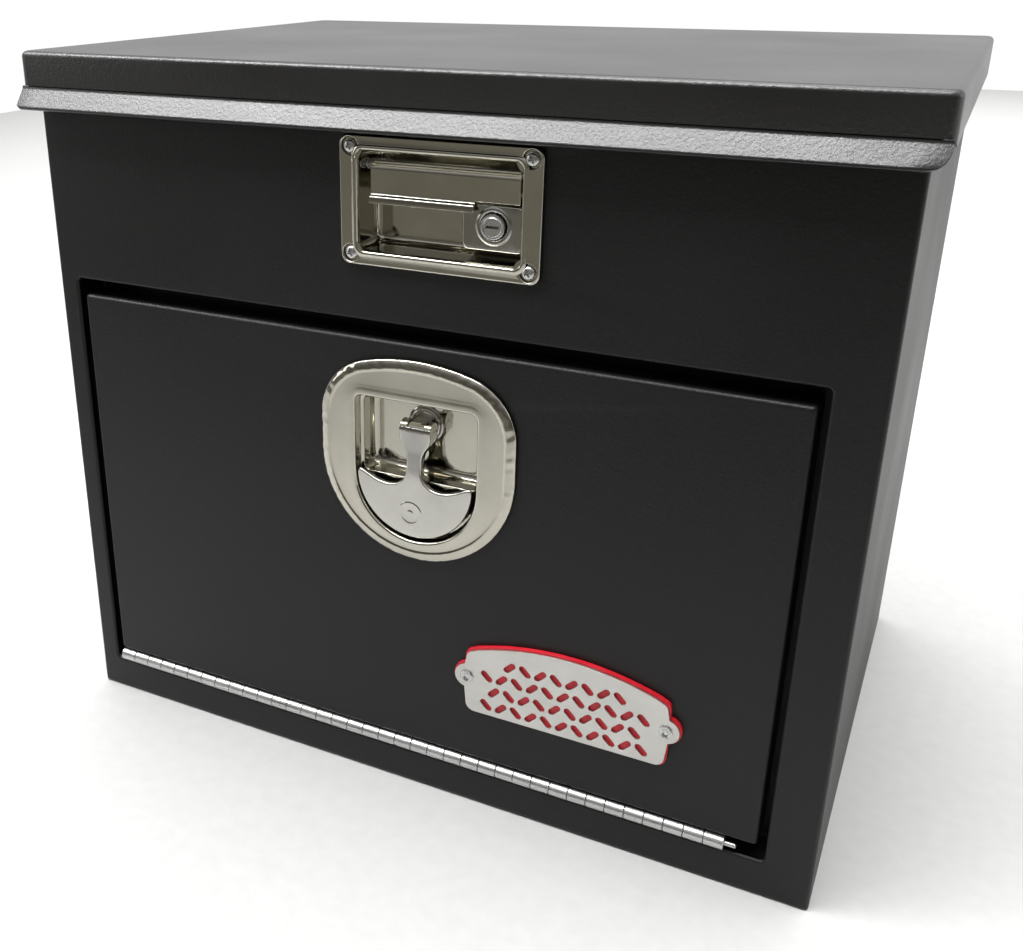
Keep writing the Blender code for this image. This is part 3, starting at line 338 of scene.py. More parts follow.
# Each finish is a material and the slot of the CAD record that it fills.
COAT = (powder_coat("powder_coat", 0.33, (0.42, 0.5)), "black_powder_coat")
LID_COAT = (powder_coat("powder_coat_lid", 0.75, (0.32, 0.4)), "black_powder_coat")
POLISH = (polished("polished_stainless"), "polished_stainless")
# A darker copy of the polished stainless for the hub, the lock block and the paddle barrel, which sit
# deep in the well and the pocket: painted shade.
POLISH_PAINTED_SHADE = (
    polished("polished_stainless_painted_shade", (0.44, 0.43, 0.40), (0.10, 0.20)),
    "polished_stainless",
)
HINGE = (brushed("hinge_stainless", (0.60, 0.60, 0.59), "x", (0.24, 0.4)), "satin_stainless")
BADGE_STEEL = (
    brushed("badge_stainless", (0.66, 0.65, 0.62), "x", (0.34, 0.5), 0.25),
    "satin_stainless",
)
SATIN = (
    brushed("satin_stainless", (0.62, 0.62, 0.61), "round", (0.22, 0.32), 0.05),
    "satin_stainless",
)
ZINC = (brushed("zinc_plate", (0.56, 0.57, 0.6), "round", (0.26, 0.44), 0.1), "zinc_plate")
# A lighter, less yellow copy of the polished stainless for the flap, its head and its boss: painted
# light.
FLAP_POLISH_PAINTED_LIGHT = (polished("polished_stainless_flap_painted_light", (0.56, 0.55, 0.51)), "polished_stainless")
RUBBER = (rubber(), "black_rubber")
RED = (red_coat(), "red_coat")
ENAMEL = (gloss_enamel(), "strut_black")
SCREW_STEEL = (SATIN[0], "zinc_plate")


# ---- mesh tools


def arc(a, b, radius, start, end, steps):
    """Points along an arc, in degrees, both ends included."""
    turn = radians(end - start) / steps
    return [
        (a + radius * cos(radians(start) + turn * i), b + radius * sin(radians(start) + turn * i))
        for i in range(steps + 1)
    ]


def rounded(left, right, low, high, radius, steps=6):
    """A rounded rectangle, anticlockwise from its lower right corner."""
    radius = max(radius, 0.01)
    return (
        arc(right - radius, low + radius, radius, -90, 0, steps)
        + arc(right - radius, high - radius, radius, 0, 90, steps)
        + arc(left + radius, high - radius, radius, 90, 180, steps)
        + arc(left + radius, low + radius, radius, 180, 270, steps)
    )


def placed(outline, turn, a, b):
    """The outline turned about its own origin, in radians, and then moved."""
    return [(a + u * cos(turn) - v * sin(turn), b + u * sin(turn) + v * cos(turn)) for u, v in outline]


def front_loop(outline, y):
    return [Vector((a, y, b)) for a, b in outline]


def plan_loop(outline, z):
    return [Vector((a, b, z)) for a, b in outline]


def add_loops(made, loops, closed=True):
    """Quads between successive loops of equal length; returns each loop's vertices."""
    rows = [[made.verts.new(p) for p in loop] for loop in loops]
    for first, second in zip(rows, rows[1:]):
        count = len(first)
        for i in range(count if closed else count - 1):
            j = (i + 1) % count
            made.faces.new((first[i], first[j], second[j], second[i]))
    return rows


def ring_edges(made, verts):
    found = []
    for i, vert in enumerate(verts):
        other = verts[(i + 1) % len(verts)]
        found.append(made.edges.get((vert, other)) or made.edges.new((vert, other)))
    return found


def fill_between(made, rings):
    """A flat face between an outer ring of vertices and its holes."""
    edges = [e for ring in rings for e in ring_edges(made, ring)]
    bmesh.ops.triangle_fill(made, use_beauty=True, use_dissolve=False, edges=edges)


def orient(made, outward):
    """Turns all faces so that the one furthest along outward looks that way."""
    bmesh.ops.recalc_face_normals(made, faces=made.faces)
    outward = Vector(outward)
    far = max(made.faces, key=lambda f: f.calc_center_median().dot(outward) + 1e-6 * f.calc_area())
    if far.normal.dot(outward) < 0:
        bmesh.ops.reverse_faces(made, faces=made.faces)


def piece(name, made, body, finish, replaces=(), outward=None, sheet=0.0, angle=35, bevel=0.0):
    """Turns a bmesh in millimetres into a finished piece that rides on a body."""
    material, slot = finish
    if outward:
        orient(made, outward)
    else:
        bmesh.ops.recalc_face_normals(made, faces=made.faces)
    mesh = bpy.data.meshes.new(name)
    made.to_mesh(mesh)
    made.free()
    mesh.transform(TO_SCENE)
    mesh.materials.append(material)
    obj = bpy.data.objects.new(name, mesh)
    bpy.context.scene.collection.objects.link(obj)
    if sheet:
        solid = obj.modifiers.new("sheet", "SOLIDIFY")
        solid.thickness = sheet * MM
        solid.offset = -1
        solid.use_even_offset = True
    if bevel:
        edge = obj.modifiers.new("edges", "BEVEL")
        edge.width = bevel * MM
        edge.segments = 2
        edge.limit_method = "ANGLE"
        edge.angle_limit = radians(40)
    mesh.shade_smooth()
    mesh.set_sharp_from_angle(angle=radians(angle))
    weighted = obj.modifiers.new("normals", "WEIGHTED_NORMAL")
    weighted.keep_sharp = True
    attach(obj, body)
    if replaces:
        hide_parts(*replaces)
    return obj


def plate_mesh(outline, holes, front, back):
    """A flat plate between two depths, with holes."""
    made = bmesh.new()
    edges = (outline, *holes)
    rings = [add_loops(made, [front_loop(edge, front), front_loop(edge, back)]) for edge in edges]
    fill_between(made, [ring[0] for ring in rings])
    fill_between(made, [ring[1] for ring in rings])
    return made


def turned(made, profile, centre, axis, sides):
    """Adds a turned shape: profile is (radius, distance along the axis) pairs."""
    turns = [2 * pi * i / sides for i in range(sides)]
    loops = []
    for radius, along in profile:
        ring = [(radius * cos(turn), radius * sin(turn)) for turn in turns]
        if axis == "X":
            ring = [Vector((along, a, b)) for a, b in ring]
        else:
            ring = [Vector((a, along, b)) for a, b in ring]
        loops.append([point + Vector(centre) for point in ring])
    rows = add_loops(made, loops)
    made.faces.new(rows[0])
    made.faces.new(rows[-1])


# ---- cabinet

BEND = 3.2
CORNER = 1.2
EDGE_STEPS = 5
OPENING_BEND = 2.2
OPENING_CORNER = 3.0
OPENING_LIP = 2.0
RIM_FLANGE = 12.0
FRAME_SIDE_LIP = 17.0
FRAME_LIP = 22.0
LATCH_HOLE_HALF = (52.6, 30.6)


def bend_insets(radius):
    """(inset, fall) pairs along a quarter bend from the side plane to the face plane."""
    turns = [pi / 2 * i / EDGE_STEPS for i in range(EDGE_STEPS + 1)]
    return [(radius * (1 - cos(turn)), radius * (1 - sin(turn))) for turn in turns]


def latch_hole():
    low, high = mm_box("paddle_latch_gasket")
    x, z = (low.x + high.x) / 2, (low.z + high.z) / 2
    half_width, half_height = LATCH_HOLE_HALF
    return rounded(x - half_width, x + half_width, z - half_height, z + half_height, 6)


def build_cabinet():
    """One folded shell: sides, back, floor and front, open at the top."""
    made = bmesh.new()

    def shell_loop(inset, y):
        return front_loop(rounded(inset, WIDTH - inset, inset, RIM - inset, CORNER), y)

    loops = [shell_loop(inset, DEPTH - fall) for inset, fall in reversed(bend_insets(BEND))]
    loops += [shell_loop(inset, fall) for inset, fall in bend_insets(BEND)]
    rows = add_loops(made, loops)
    made.faces.new(rows[0])
    left, right, low, high = OPENING

    def opening_loop(grow, y):
        outline = rounded(left - grow, right + grow, low - grow, high + grow, OPENING_CORNER + grow)
        return front_loop(outline, y)

    lip = [opening_loop(inset, fall) for inset, fall in reversed(bend_insets(OPENING_BEND))]
    lip_rows = add_loops(made, lip + [opening_loop(0.0, SHEET + OPENING_LIP)])
    hole = [made.verts.new(p) for p in front_loop(latch_hole(), 0)]
    fill_between(made, [rows[-1], lip_rows[0], hole])
    top = [
        face
        for face in made.faces
        if all(v.co.z > RIM - 0.01 for v in face.verts)
        and len({round(v.co.y) for v in face.verts}) > 1
    ]
    bmesh.ops.delete(made, geom=top, context="FACES_ONLY")
    names = ["left_side_panel", "right_side_panel", "back_panel", "floor_panel"]
    names += [f"front_{part}" for part in ("header_panel", "sill_panel", "left_jamb", "right_jamb")]
    piece("cabinet_shell", made, "cabinet", COAT, names, outward=(0, 1, 0), sheet=SHEET)


def build_rim():
    """The flange turned inwards round the cabinet's open top."""
    made = bmesh.new()
    start, reach = SHEET + 0.15, RIM_FLANGE
    loops = [plan_loop(rounded(start, WIDTH - start, start, DEPTH - start, 2.0), RIM - 10)]
    for inset, fall in bend_insets(2.5):
        edge = start + inset
        outline = rounded(edge, WIDTH - edge, edge, DEPTH - edge, 2.0)
        loops.append(plan_loop(outline, RIM - fall))
    loops.append(plan_loop(rounded(reach, WIDTH - reach, reach, DEPTH - reach, 2.0), RIM))
    add_loops(made, loops)
    piece("rim_flange", made, "cabinet", COAT, outward=(0, 0, 1), sheet=SHEET)


def build_door_frame():
    """The folded channel behind the opening's edge, with the lip that the door shuts against."""
    made = bmesh.new()
    left, right, low, high = OPENING
    back = FRAME_DEPTH - SHEET

    def frame_loop(across, down, y):
        outline = rounded(left + across, right - across, low + down, high - down, OPENING_CORNER)
        return front_loop(outline, y)

    loops = [frame_loop(0.0, 0.0, SHEET + 0.2)]
    loops += [frame_loop(inset, inset, back - fall) for inset, fall in bend_insets(2.0)]
    loops.append(frame_loop(FRAME_SIDE_LIP, FRAME_LIP, back))
    add_loops(made, loops)
    names = [f"door_frame_{side}" for side in ("top", "bottom", "left", "right")]
    piece("door_frame_channel", made, "cabinet", COAT, names, outward=(0, 0, 1), sheet=-SHEET)


# ---- lid

LID_BEND = 3.5
LID_CORNER = 6.0
LID_FRONT = -6.0
LID_LIP_TOP = 464.6
SIDE_SKIRT_BOTTOM = 460.5
LIP_BEND = 3.0
LIP_STEPS = 8
LIP_LEFT_CORNER = 3.0
LIP_RIGHT_CORNER = 11.0


def lid_skirt_bottom(y):
    """The front skirt stops higher, where the lip begins; the side skirts reach lower."""
    start, run = LID_FRONT + 2.0, 5.0
    share = min(max((y - start) / run, 0.0), 1.0)
    return LID_LIP_TOP + (SIDE_SKIRT_BOTTOM - LID_LIP_TOP) * share


def build_lid():
    """The lid's pan: a flat top, bent edges and a skirt all round."""
    made = bmesh.new()
    left, right = LID_LOW.x, LID_HIGH.x
    front, back, top = LID_FRONT, LID_HIGH.y, LID_HIGH.z
    loops = []
    for inset, fall in reversed(bend_insets(LID_BEND)):
        corner = LID_CORNER - inset / 2
        outline = rounded(left + inset, right - inset, front + inset, back - inset, corner)
        loops.append(plan_loop(outline, top - fall))
    outline = rounded(left, right, front, back, LID_CORNER)
    loops.append([Vector((x, y, lid_skirt_bottom(y))) for x, y in outline])
    rows = add_loops(made, loops)
    made.faces.new(rows[0])
    piece("lid_shell", made, "lid", LID_COAT, ["lid_panel"], outward=(0, 0, 1), sheet=SHEET)
    build_lip()


def build_lip():
    """The flared drip lip: its right end has a large round corner, its left a small one."""
    made = bmesh.new()
    left, right = LID_LOW.x + 1.0, LID_HIGH.x - 1.0
    reach, drop = LID_FRONT - LID_LOW.y, LID_LIP_TOP - LID_LOW.z
    turn = pi / 2 - atan2(drop, reach)
    profile = [(LID_FRONT, LID_LIP_TOP + 0.6)]
    for i in range(EDGE_STEPS + 1):
        angle = turn * i / EDGE_STEPS
        out, down = LIP_BEND * (1 - cos(angle)), LIP_BEND * sin(angle)
        profile.append((LID_FRONT - out, LID_LIP_TOP - down))
    end_y, end_z = LID_LOW.y + 0.2, LID_LOW.z + 0.2
    start_y, start_z = profile[-1]
    for i in range(1, LIP_STEPS + 1):
        share = i / LIP_STEPS
        profile.append((start_y + (end_y - start_y) * share, start_z + (end_z - start_z) * share))
    run = hypot(end_y - start_y, end_z - start_z)

    def end_inset(radius, distance):
        """How far a rounded corner pulls the end in, at a distance from the free edge."""
        if distance >= radius:
            return 0.0
        return radius - sqrt(max(radius**2 - (radius - distance) ** 2, 0.0))

    loops = []
    for i, (y, z) in enumerate(profile):
        distance = hypot(end_y - y, end_z - z) if i > EDGE_STEPS else run
        a = left + end_inset(LIP_LEFT_CORNER, distance)
        b = right - end_inset(LIP_RIGHT_CORNER, distance)
        loops.append([Vector((x, y, z)) for x in (a, a + 14, b - 14, b)])
    add_loops(made, loops, closed=False)
    piece("lid_drip_lip", made, "lid", LID_COAT, outward=(0, -1, 0.4), sheet=SHEET)


# ---- door

DISH_X = (DISH_LOW.x + DISH_HIGH.x) / 2
BEZEL_X = DISH_X + 1.3  # drawn a little to the right of the CAD's dish, as in the photo
DISH_RADIUS = 67.0
DISH_CORNER = 40.0
DISH_CROWN = 140.0
DISH_TOP = 68.5
DISH_Z = DISH_LOW.z + DISH_RADIUS
DISH_MIDDLE = (0.0, -2.0)
DISH_POINTS = 288
RECESS_HALF = 42.0
RECESS_TOP = 41.0
RECESS_ARC_Z = -11.5
RECESS_DEPTH = 16.9
TRAY_DEPTH = 4.2
WELL_BOTTOM = -13.5
WELL_FILLET = 4.5
DISH_SHEET = 0.9


def dish_outline(grow):
    """A soft D: a round bottom, short straight sides, wide corners and a crowned top."""
    steps = 10
    radius = DISH_RADIUS + grow
    corner = DISH_CORNER + grow
    crown = DISH_CROWN + grow
    top = DISH_TOP + grow
    lean = asin((radius - corner) / (crown - corner))
    rise = top - crown + (crown - corner) * cos(lean)
    swing = 90 - degrees(lean)
    return (
        arc(0, 0, radius, 180, 360, 4 * steps)
        + arc(radius - corner, rise, corner, 0, swing, steps)
        + arc(0, top - crown, crown, swing, 180 - swing, 8)[1:-1]
        + arc(corner - radius, rise, corner, 180 - swing, 180, steps)
    )


def recess_outline(grow):
    """A round bottom under straight sides and a flat top with small corners."""
    radius = RECESS_HALF + grow
    corner = max(5.0 + grow, 0.5)
    top = RECESS_TOP + grow
    return (
        arc(0, RECESS_ARC_Z, radius, 180, 360, 24)
        + arc(radius - corner, top - corner, corner, 0, 90, 6)
        + arc(corner - radius, top - corner, corner, 90, 180, 6)
    )


def by_angle(outline):
    """The outline's points at even angles round one middle, so unlike outlines can be joined."""
    found = []
    points = [(a - DISH_MIDDLE[0], b - DISH_MIDDLE[1]) for a, b in outline]
    for i in range(DISH_POINTS):
        angle = 2 * pi * i / DISH_POINTS
        da, db = cos(angle), sin(angle)
        best = 0.0
        for (a1, b1), (a2, b2) in zip(points, points[1:] + points[:1]):
            ea, eb = a2 - a1, b2 - b1
            cross = da * eb - db * ea
            if abs(cross) < 1e-9:
                continue
            distance = (a1 * eb - b1 * ea) / cross
            share = (a1 * db - b1 * da) / cross
            if distance > 0 and -1e-6 <= share <= 1 + 1e-6:
                best = max(best, distance)
        found.append((DISH_MIDDLE[0] + best * da, DISH_MIDDLE[1] + best * db))
    return found


def shifted(outline, a, b):
    return [(x + a, z + b) for x, z in outline]


def build_door():
    """The door's pan, with a hole for the T-handle's dish."""
    made = bmesh.new()
    left, right, low, high = DOOR_LOW.x, DOOR_HIGH.x, DOOR_LOW.z, DOOR_HIGH.z
    loops = [front_loop(rounded(left, right, low, high, 2.5), DOOR_HIGH.y)]
    for inset, fall in bend_insets(2.8):
        outline = rounded(left + inset, right - inset, low + inset, high - inset, 2.2)
        loops.append(front_loop(outline, fall))
    rows = add_loops(made, loops)
    hole = front_loop(shifted(recess_outline(1.8), BEZEL_X, DISH_Z), 0)
    fill_between(made, [rows[-1], [made.verts.new(p) for p in hole]])
    piece("door_shell", made, "door", COAT, ["door_panel"], outward=FRONT, sheet=SHEET)


# ---- hinges

KNUCKLE_RADIUS = 4.75
PIN_RADIUS = 1.6
LEAF_SHEET = 1.4
LEAF_START = 3.7
KNUCKLE_CHAMFER = 0.3
KNUCKLE_GAP = 0.2
ROLL_GAP = 42  # degrees left open where a knuckle's roll meets its leaf
DOOR_KNUCKLES = (37, 12.7)  # how many, and their pitch
LID_KNUCKLES = (19, 25.4)


def build_hinge_row(name, node, body, first, knuckles, start, axis, along, across):
    """A leaf strip and every other knuckle, each rolled from the leaf with its own tab."""
    made = bmesh.new()
    count, pitch = knuckles
    along, across = Vector((0, *along)), Vector((0, *across))
    centre = Vector((0, *axis))
    width = max(abs((Vector(corner) - centre).dot(along)) for corner in mm_box(node)) - 0.05

    def place(s, t, x):
        return centre + along * s + across * t + Vector((x, 0, 0))

    def add_closed(loops):
        rows = add_loops(made, loops)
        made.faces.new(rows[0])
        made.faces.new(rows[-1])

    inner, outer = KNUCKLE_RADIUS - LEAF_SHEET, KNUCKLE_RADIUS - 0.02
    strip = [(LEAF_START, inner), (width, inner), (width, outer), (LEAF_START, outer)]
    ends = (start + 0.4, start + count * pitch - 0.4)
    add_closed([[place(s, t, x) for s, t in strip] for x in ends])
    roll = arc(0, 0, KNUCKLE_RADIUS, 90, 450 - ROLL_GAP, 30)
    tab = [(LEAF_START + 0.5, inner), (LEAF_START + 0.5, outer)]
    for i in range(first, count, 2):
        x0, x1 = start + i * pitch + KNUCKLE_GAP, start + (i + 1) * pitch - KNUCKLE_GAP
        stations = ((x0, KNUCKLE_CHAMFER), (x0 + KNUCKLE_CHAMFER, 0.0))
        stations += ((x1 - KNUCKLE_CHAMFER, 0.0), (x1, KNUCKLE_CHAMFER))
        loops = []
        for x, shrink in stations:
            ring = []
            for s, t in roll + tab:
                size = hypot(s, t)
                scale = (size - shrink) / size if size > KNUCKLE_RADIUS - 0.2 else 1.0
                ring.append(place(s * scale, t * scale, x))
            loops.append(ring)
        add_closed(loops)
    piece(name, made, body, HINGE, [node], angle=30)


def build_hinge_rod(name, node, profile, axis):
    made = bmesh.new()
    turned(made, profile, (0, *axis), "X", 24)
    piece(name, made, "cabinet", HINGE, [node])


def build_hinges():
    pin_low, pin_high = mm_box("door_hinge_pin")
    start, end = pin_low.x, pin_high.x
    leaf_low = mm_box("door_hinge_fixed_leaf")[0]
    axis = (pin_low.y + PIN_RADIUS, leaf_low.z + KNUCKLE_RADIUS)
    for name, node, body, first, across in (
        ("door_hinge_lower", "door_hinge_fixed_leaf", "cabinet", 0, (0, -1)),
        ("door_hinge_upper", "door_hinge_moving_leaf", "door", 1, (0, 1)),
    ):
        build_hinge_row(name, node, body, first, DOOR_KNUCKLES, start, axis, (1, 0), across)
    profile = [(0.9, start - 1.2), (1.5, start - 0.8), (PIN_RADIUS, start)]
    profile += [(PIN_RADIUS, end - 0.5), (1.2, end)]
    build_hinge_rod("door_hinge_rod", "door_hinge_pin", profile, axis)

    pin_low, pin_high = mm_box("lid_hinge_pin")
    start, end = pin_low.x, pin_high.x
    leaf_low, leaf_high = mm_box("lid_hinge_fixed_leaf")
    axis = (leaf_low.y + KNUCKLE_RADIUS, leaf_high.z - KNUCKLE_RADIUS)
    for name, node, body, first, along in (
        ("lid_hinge_lower", "lid_hinge_fixed_leaf", "cabinet", 0, (0, -1)),
        ("lid_hinge_upper", "lid_hinge_moving_leaf", "lid", 1, (0, 1)),
    ):
        build_hinge_row(name, node, body, first, LID_KNUCKLES, start, axis, along, (-1, 0))
    profile = [(1.0, start - 0.6), (PIN_RADIUS, start), (PIN_RADIUS, end), (1.0, end + 0.6)]
    build_hinge_rod("lid_hinge_rod", "lid_hinge_pin", profile, axis)


# ---- T-handle latch


def build_dish():
    """The drawn dish: a rolled rim, a flat flange, a raised bead, a shallow tray and a deep well."""
    made = bmesh.new()
    face = DISH_LOW.y

    def ring(points, y, ripple=0.0):
        """A loop of the dish; ripple makes the rolled rim slightly uneven, like drawn sheet."""
        loop = front_loop(shifted(points, BEZEL_X, DISH_Z), y)
        for i, point in enumerate(loop):
            point.y += ripple * (sin(i * 0.95) + sin(i * 1.43 + 1.0) + 0.8 * sin(i * 0.37))
        return loop

    def outer(grow):
        return by_angle(dish_outline(grow))

    def from_middle(point):
        return hypot(point[0] - DISH_MIDDLE[0], point[1] - DISH_MIDDLE[1])

    def inner(grow, limit):
        """The recess's outline, kept inside the flange where it would run past it."""
        pairs = zip(by_angle(recess_outline(grow)), outer(limit))
        return [min(a, b, key=from_middle) for a, b in pairs]

    flange = face + 0.6
    rim = (
        (-0.4, -1.2, 0.0),
        (0.0, -1.5, 0.0),
        (-0.1, -1.9, 0.0),
        (-0.7, -2.8, 0.05),
        (-2.6, -3.5, 0.13),
        (-4.6, face + 0.12, 0.08),
        (-5.5, face, 0.02),
        (-6.3, face + 0.1, 0.0),
        (-7.0, face + 0.6, 0.0),
        (-7.7, flange - 0.1, 0.0),
        (-8.4, flange, 0.0),
    )
    inside = (
        (9.0, -8.6, flange),
        (7.6, -8.8, flange - 0.1),
        (6.2, -9.0, flange - 0.14),
        (4.8, -9.2, face + 0.36),
        (3.6, -9.4, face + 0.28),
        (1.8, -9.8, face + 0.2),
        (0.9, -10.4, face + 0.35),
        (0.3, -11.0, face + 0.9),
        (0.0, -11.4, face + 1.8),
        (-0.2, -11.6, TRAY_DEPTH - 1.2),
        (-0.6, -12.0, TRAY_DEPTH - 0.4),
        (-1.4, -12.8, TRAY_DEPTH),
    )
    loops = [ring(outer(grow), y, ripple) for grow, y, ripple in rim]
    loops += [ring(inner(grow, limit), y) for grow, limit, y in inside]
    rows = add_loops(made, loops)

    def well(inset, y):
        half = RECESS_HALF - 2.0 - inset
        outline = rounded(-half, half, WELL_BOTTOM + inset, RECESS_TOP - 2.0 - inset, 4.0, 8)
        return front_loop(shifted(outline, BEZEL_X, DISH_Z), y)

    walls = [well(0.0, TRAY_DEPTH), well(0.3, TRAY_DEPTH + 0.25), well(0.5, TRAY_DEPTH + 0.8)]
    for i in range(9):
        turn = pi / 2 * i / 8
        inset = 1.0 + WELL_FILLET * (1 - cos(turn))
        walls.append(well(inset, RECESS_DEPTH - WELL_FILLET * (1 - sin(turn))))
    deep = add_loops(made, walls)
    made.faces.new(deep[-1])
    fill_between(made, [rows[-1], deep[0]])
    piece(
        "t_handle_bezel", made, "door", POLISH, ["t_handle_dish"], outward=FRONT, sheet=DISH_SHEET,
        angle=60
    )


def build_spindle():
    """The round hub on the spindle, standing on the well's floor."""
    made = bmesh.new()
    back = RECESS_DEPTH
    profile = [(12.4, back - 0.2), (12.2, back - 0.9), (11.4, back - 1.3), (11.0, back - 1.2)]
    profile += [(10.8, back - 2.2), (10.3, back - 2.8), (9.2, back - 3.1)]
    profile += [(8.0, back - 2.9), (7.4, back - 3.1), (6.2, back - 3.3)]
    turned(made, profile, (DISH_X, 0, spindle_height()), "Y", 48)
    piece("t_handle_hub", made, "t_handle_shaft", POLISH_PAINTED_SHADE)


def spindle_height():
    low, high = mm_box("t_handle_spindle")
    return (low.z + high.z) / 2


FLAP_RADIUS = 40.2
FLAP_FACE = -2.6
FLAP_SHEET = 1.4
FLAP_EDGE = 1.3
FLAP_EDGE_DEPTH = 1.5
SHELF_DEPTH = 3.4
NECK_HALF = 5.2
NECK_LEAN = 1.9
HEAD_HALF = 10.8
HEAD_SHEET = 1.3
HEAD_ROLL_END = 152
EAR_INNER = 5.9
PIN_BORE = 2.4


def handle_outline(pivot):
    """The flap, neck and head about the dish's centre, each point with its fold-back depth."""
    spin = spindle_height() - DISH_Z
    neck, head = NECK_HALF, HEAD_HALF
    top = spin + 1.0
    edge = arc(0, RECESS_ARC_Z + 0.3, FLAP_RADIUS, 184, 356, 48)
    points = [(a, b, FLAP_EDGE_DEPTH) for a, b in edge]
    shelf = SHELF_DEPTH
    right = [
        (FLAP_RADIUS - 0.2, -11.4, FLAP_EDGE_DEPTH),
        (FLAP_RADIUS - 1.0, -10.2, 1.6),
        (FLAP_RADIUS - 2.4, -9.9, 2.2),
        (FLAP_RADIUS - 4.4, -10.6, 2.6),
        (FLAP_RADIUS - 7.0, -11.9, 3.0),
        (FLAP_RADIUS - 10.0, -13.4, 3.2),
        (FLAP_RADIUS - 13.5, -14.9, shelf),
        (FLAP_RADIUS - 17.5, -16.0, shelf),
        (FLAP_RADIUS - 21.5, -16.4, shelf),
        (FLAP_RADIUS - 25.0, -16.1, shelf),
        (FLAP_RADIUS - 28.0, -15.2, shelf),
        (neck + 5.0, -13.9, shelf),
        (neck + 2.8, -12.2, shelf),
        (neck + 1.2, -9.8, 4.0),
        (neck + 0.3, -7.2, 5.0),
        (neck, -4.4, 6.0),
        (neck, -0.5, 6.5),
        (neck, 3.0, 6.5),
        (neck + 0.5, 5.8, 6.8),
        (neck + 1.9, 8.8, 7.6),
        (neck + 3.8, 11.6, 9.0),
        (head - 0.5, 14.0, 11.0),
        (head, 16.4, pivot + 4.4 - FLAP_FACE),
        (head, top - 1.4, pivot + 4.8 - FLAP_FACE),
        (head - 0.4, top - 0.3, pivot + 4.8 - FLAP_FACE),
        (head - 1.4, top, FLAP_EDGE_DEPTH),
        (head / 2, top, FLAP_EDGE_DEPTH),
    ]
    left = [(-a, b, depth) for a, b, depth in reversed(right)]
    return points + right + [(0.0, top, FLAP_EDGE_DEPTH)] + left


def neck_lean(height):
    """How far the neck leans back at a height above the dish's centre."""
    share = min(max((height + 8.0) / 20.0, 0.0), 1.0)
    return NECK_LEAN * share


def inset_outline(points, distance):
    """Moves each point of an anticlockwise outline inwards, square to its neighbours."""
    moved = []
    for i, (a, b) in enumerate(points):
        before, after = points[i - 1], points[(i + 1) % len(points)]
        run, rise = after[0] - before[0], after[1] - before[1]
        length = hypot(run, rise) or 1.0
        moved.append((a - rise / length * distance, b + run / length * distance))
    return moved


def build_grip():
    """A stamped handle: a flat face whose top edge, neck and head are folded back."""
    low, high = mm_box("t_handle_pivot_pin")
    pivot = (low.y + high.y) / 2
    points = handle_outline(pivot)
    edge = [(a, b) for a, b, _ in points]
    made = bmesh.new()
    loops = []
    for i in range(5):
        turn = pi / 2 * i / 4
        ring = inset_outline(edge, FLAP_EDGE * (1 - sin(turn)))
        loop = front_loop(shifted(ring, DISH_X, DISH_Z), FLAP_FACE + FLAP_EDGE * (1 - cos(turn)))
        for point in loop:
            point.y += neck_lean(point.z - DISH_Z)
        loops.append(loop)
    back = []
    for (a, b), (_, _, depth) in zip(edge, points):
        start = max(depth, 1.35 + neck_lean(b))
        back.append(Vector((DISH_X + a, FLAP_FACE + start, DISH_Z + b)))
    middle = [(p + q) / 2 for p, q in zip(loops[-1], back)]
    loops += [middle, back]
    rows = add_loops(made, loops)
    fill_between(made, [rows[0]])
    piece(
        "t_handle_flap", made, "t_handle", FLAP_POLISH_PAINTED_LIGHT, ["t_handle_grip"], outward=FRONT,
        sheet=FLAP_SHEET, angle=50
    )
    build_head(pivot)
    build_dimple()


def build_head(pivot):
    """The head: a short roll over the spindle's eye between two ears that turn on the pin."""
    height = spindle_height()
    radius = pivot - FLAP_FACE - NECK_LEAN
    outer = arc(pivot, height, radius, 180, HEAD_ROLL_END, 8)
    inner = arc(pivot, height, radius - HEAD_SHEET, HEAD_ROLL_END, 180, 8)
    made = bmesh.new()
    loops = [
        [Vector((DISH_X + x, a, b)) for a, b in outer + inner]
        for x in (-HEAD_HALF, -HEAD_HALF / 2, HEAD_HALF / 2, HEAD_HALF)
    ]
    rows = add_loops(made, loops)
    made.faces.new(rows[0])
    made.faces.new(rows[-1])
    piece("t_handle_head", made, "t_handle", FLAP_POLISH_PAINTED_LIGHT, angle=50, bevel=0.25)
    for side, sign in (("left", -1), ("right", 1)):
        ear = [
            (PIN_BORE, 9.0),
            (PIN_BORE, EAR_INNER),
            (radius - 0.3, EAR_INNER),
            (radius, EAR_INNER + 0.3),
            (radius, HEAD_HALF - 0.5),
            (radius - 0.3, HEAD_HALF - 0.2),
        ]
        made = bmesh.new()
        turned(made, [(r, DISH_X + sign * along) for r, along in ear], (0, pivot, height), "X", 40)
        piece(f"t_handle_{side}_ear", made, "t_handle", POLISH, angle=50)


def build_dimple():
    """A plain round stamped boss where the real flap carries a mark."""
    made = bmesh.new()
    centre = (DISH_X - 2.0, 0, DISH_Z - 34.5)
    profile = [(8.4, FLAP_FACE + 0.3), (8.4, FLAP_FACE - 0.02), (8.0, FLAP_FACE - 0.3)]
    profile += [(7.3, FLAP_FACE - 0.42), (6.6, FLAP_FACE - 0.3), (6.1, FLAP_FACE - 0.05)]
    profile += [(2.6, FLAP_FACE - 0.05), (2.2, FLAP_FACE - 0.3), (1.2, FLAP_FACE - 0.45)]
    turned(made, profile, centre, "Y", 48)
    piece("t_handle_flap_boss", made, "t_handle", FLAP_POLISH_PAINTED_LIGHT, angle=50)


# ---- paddle latch

PLATE_X = (PLATE_LOW.x + PLATE_HIGH.x) / 2
PLATE_Z = (PLATE_LOW.z + PLATE_HIGH.z) / 2
POCKET = (-51.0, 51.0, -29.0, 29.0)
POCKET_DEPTH = 20.0
LATCH_SHEET = 0.8
PADDLE_SHEET = 1.5
LOCK = mm_box("paddle_lock_cylinder")
LOCK_X, LOCK_Z = (LOCK[0].x + LOCK[1].x) / 2, (LOCK[0].z + LOCK[1].z) / 2


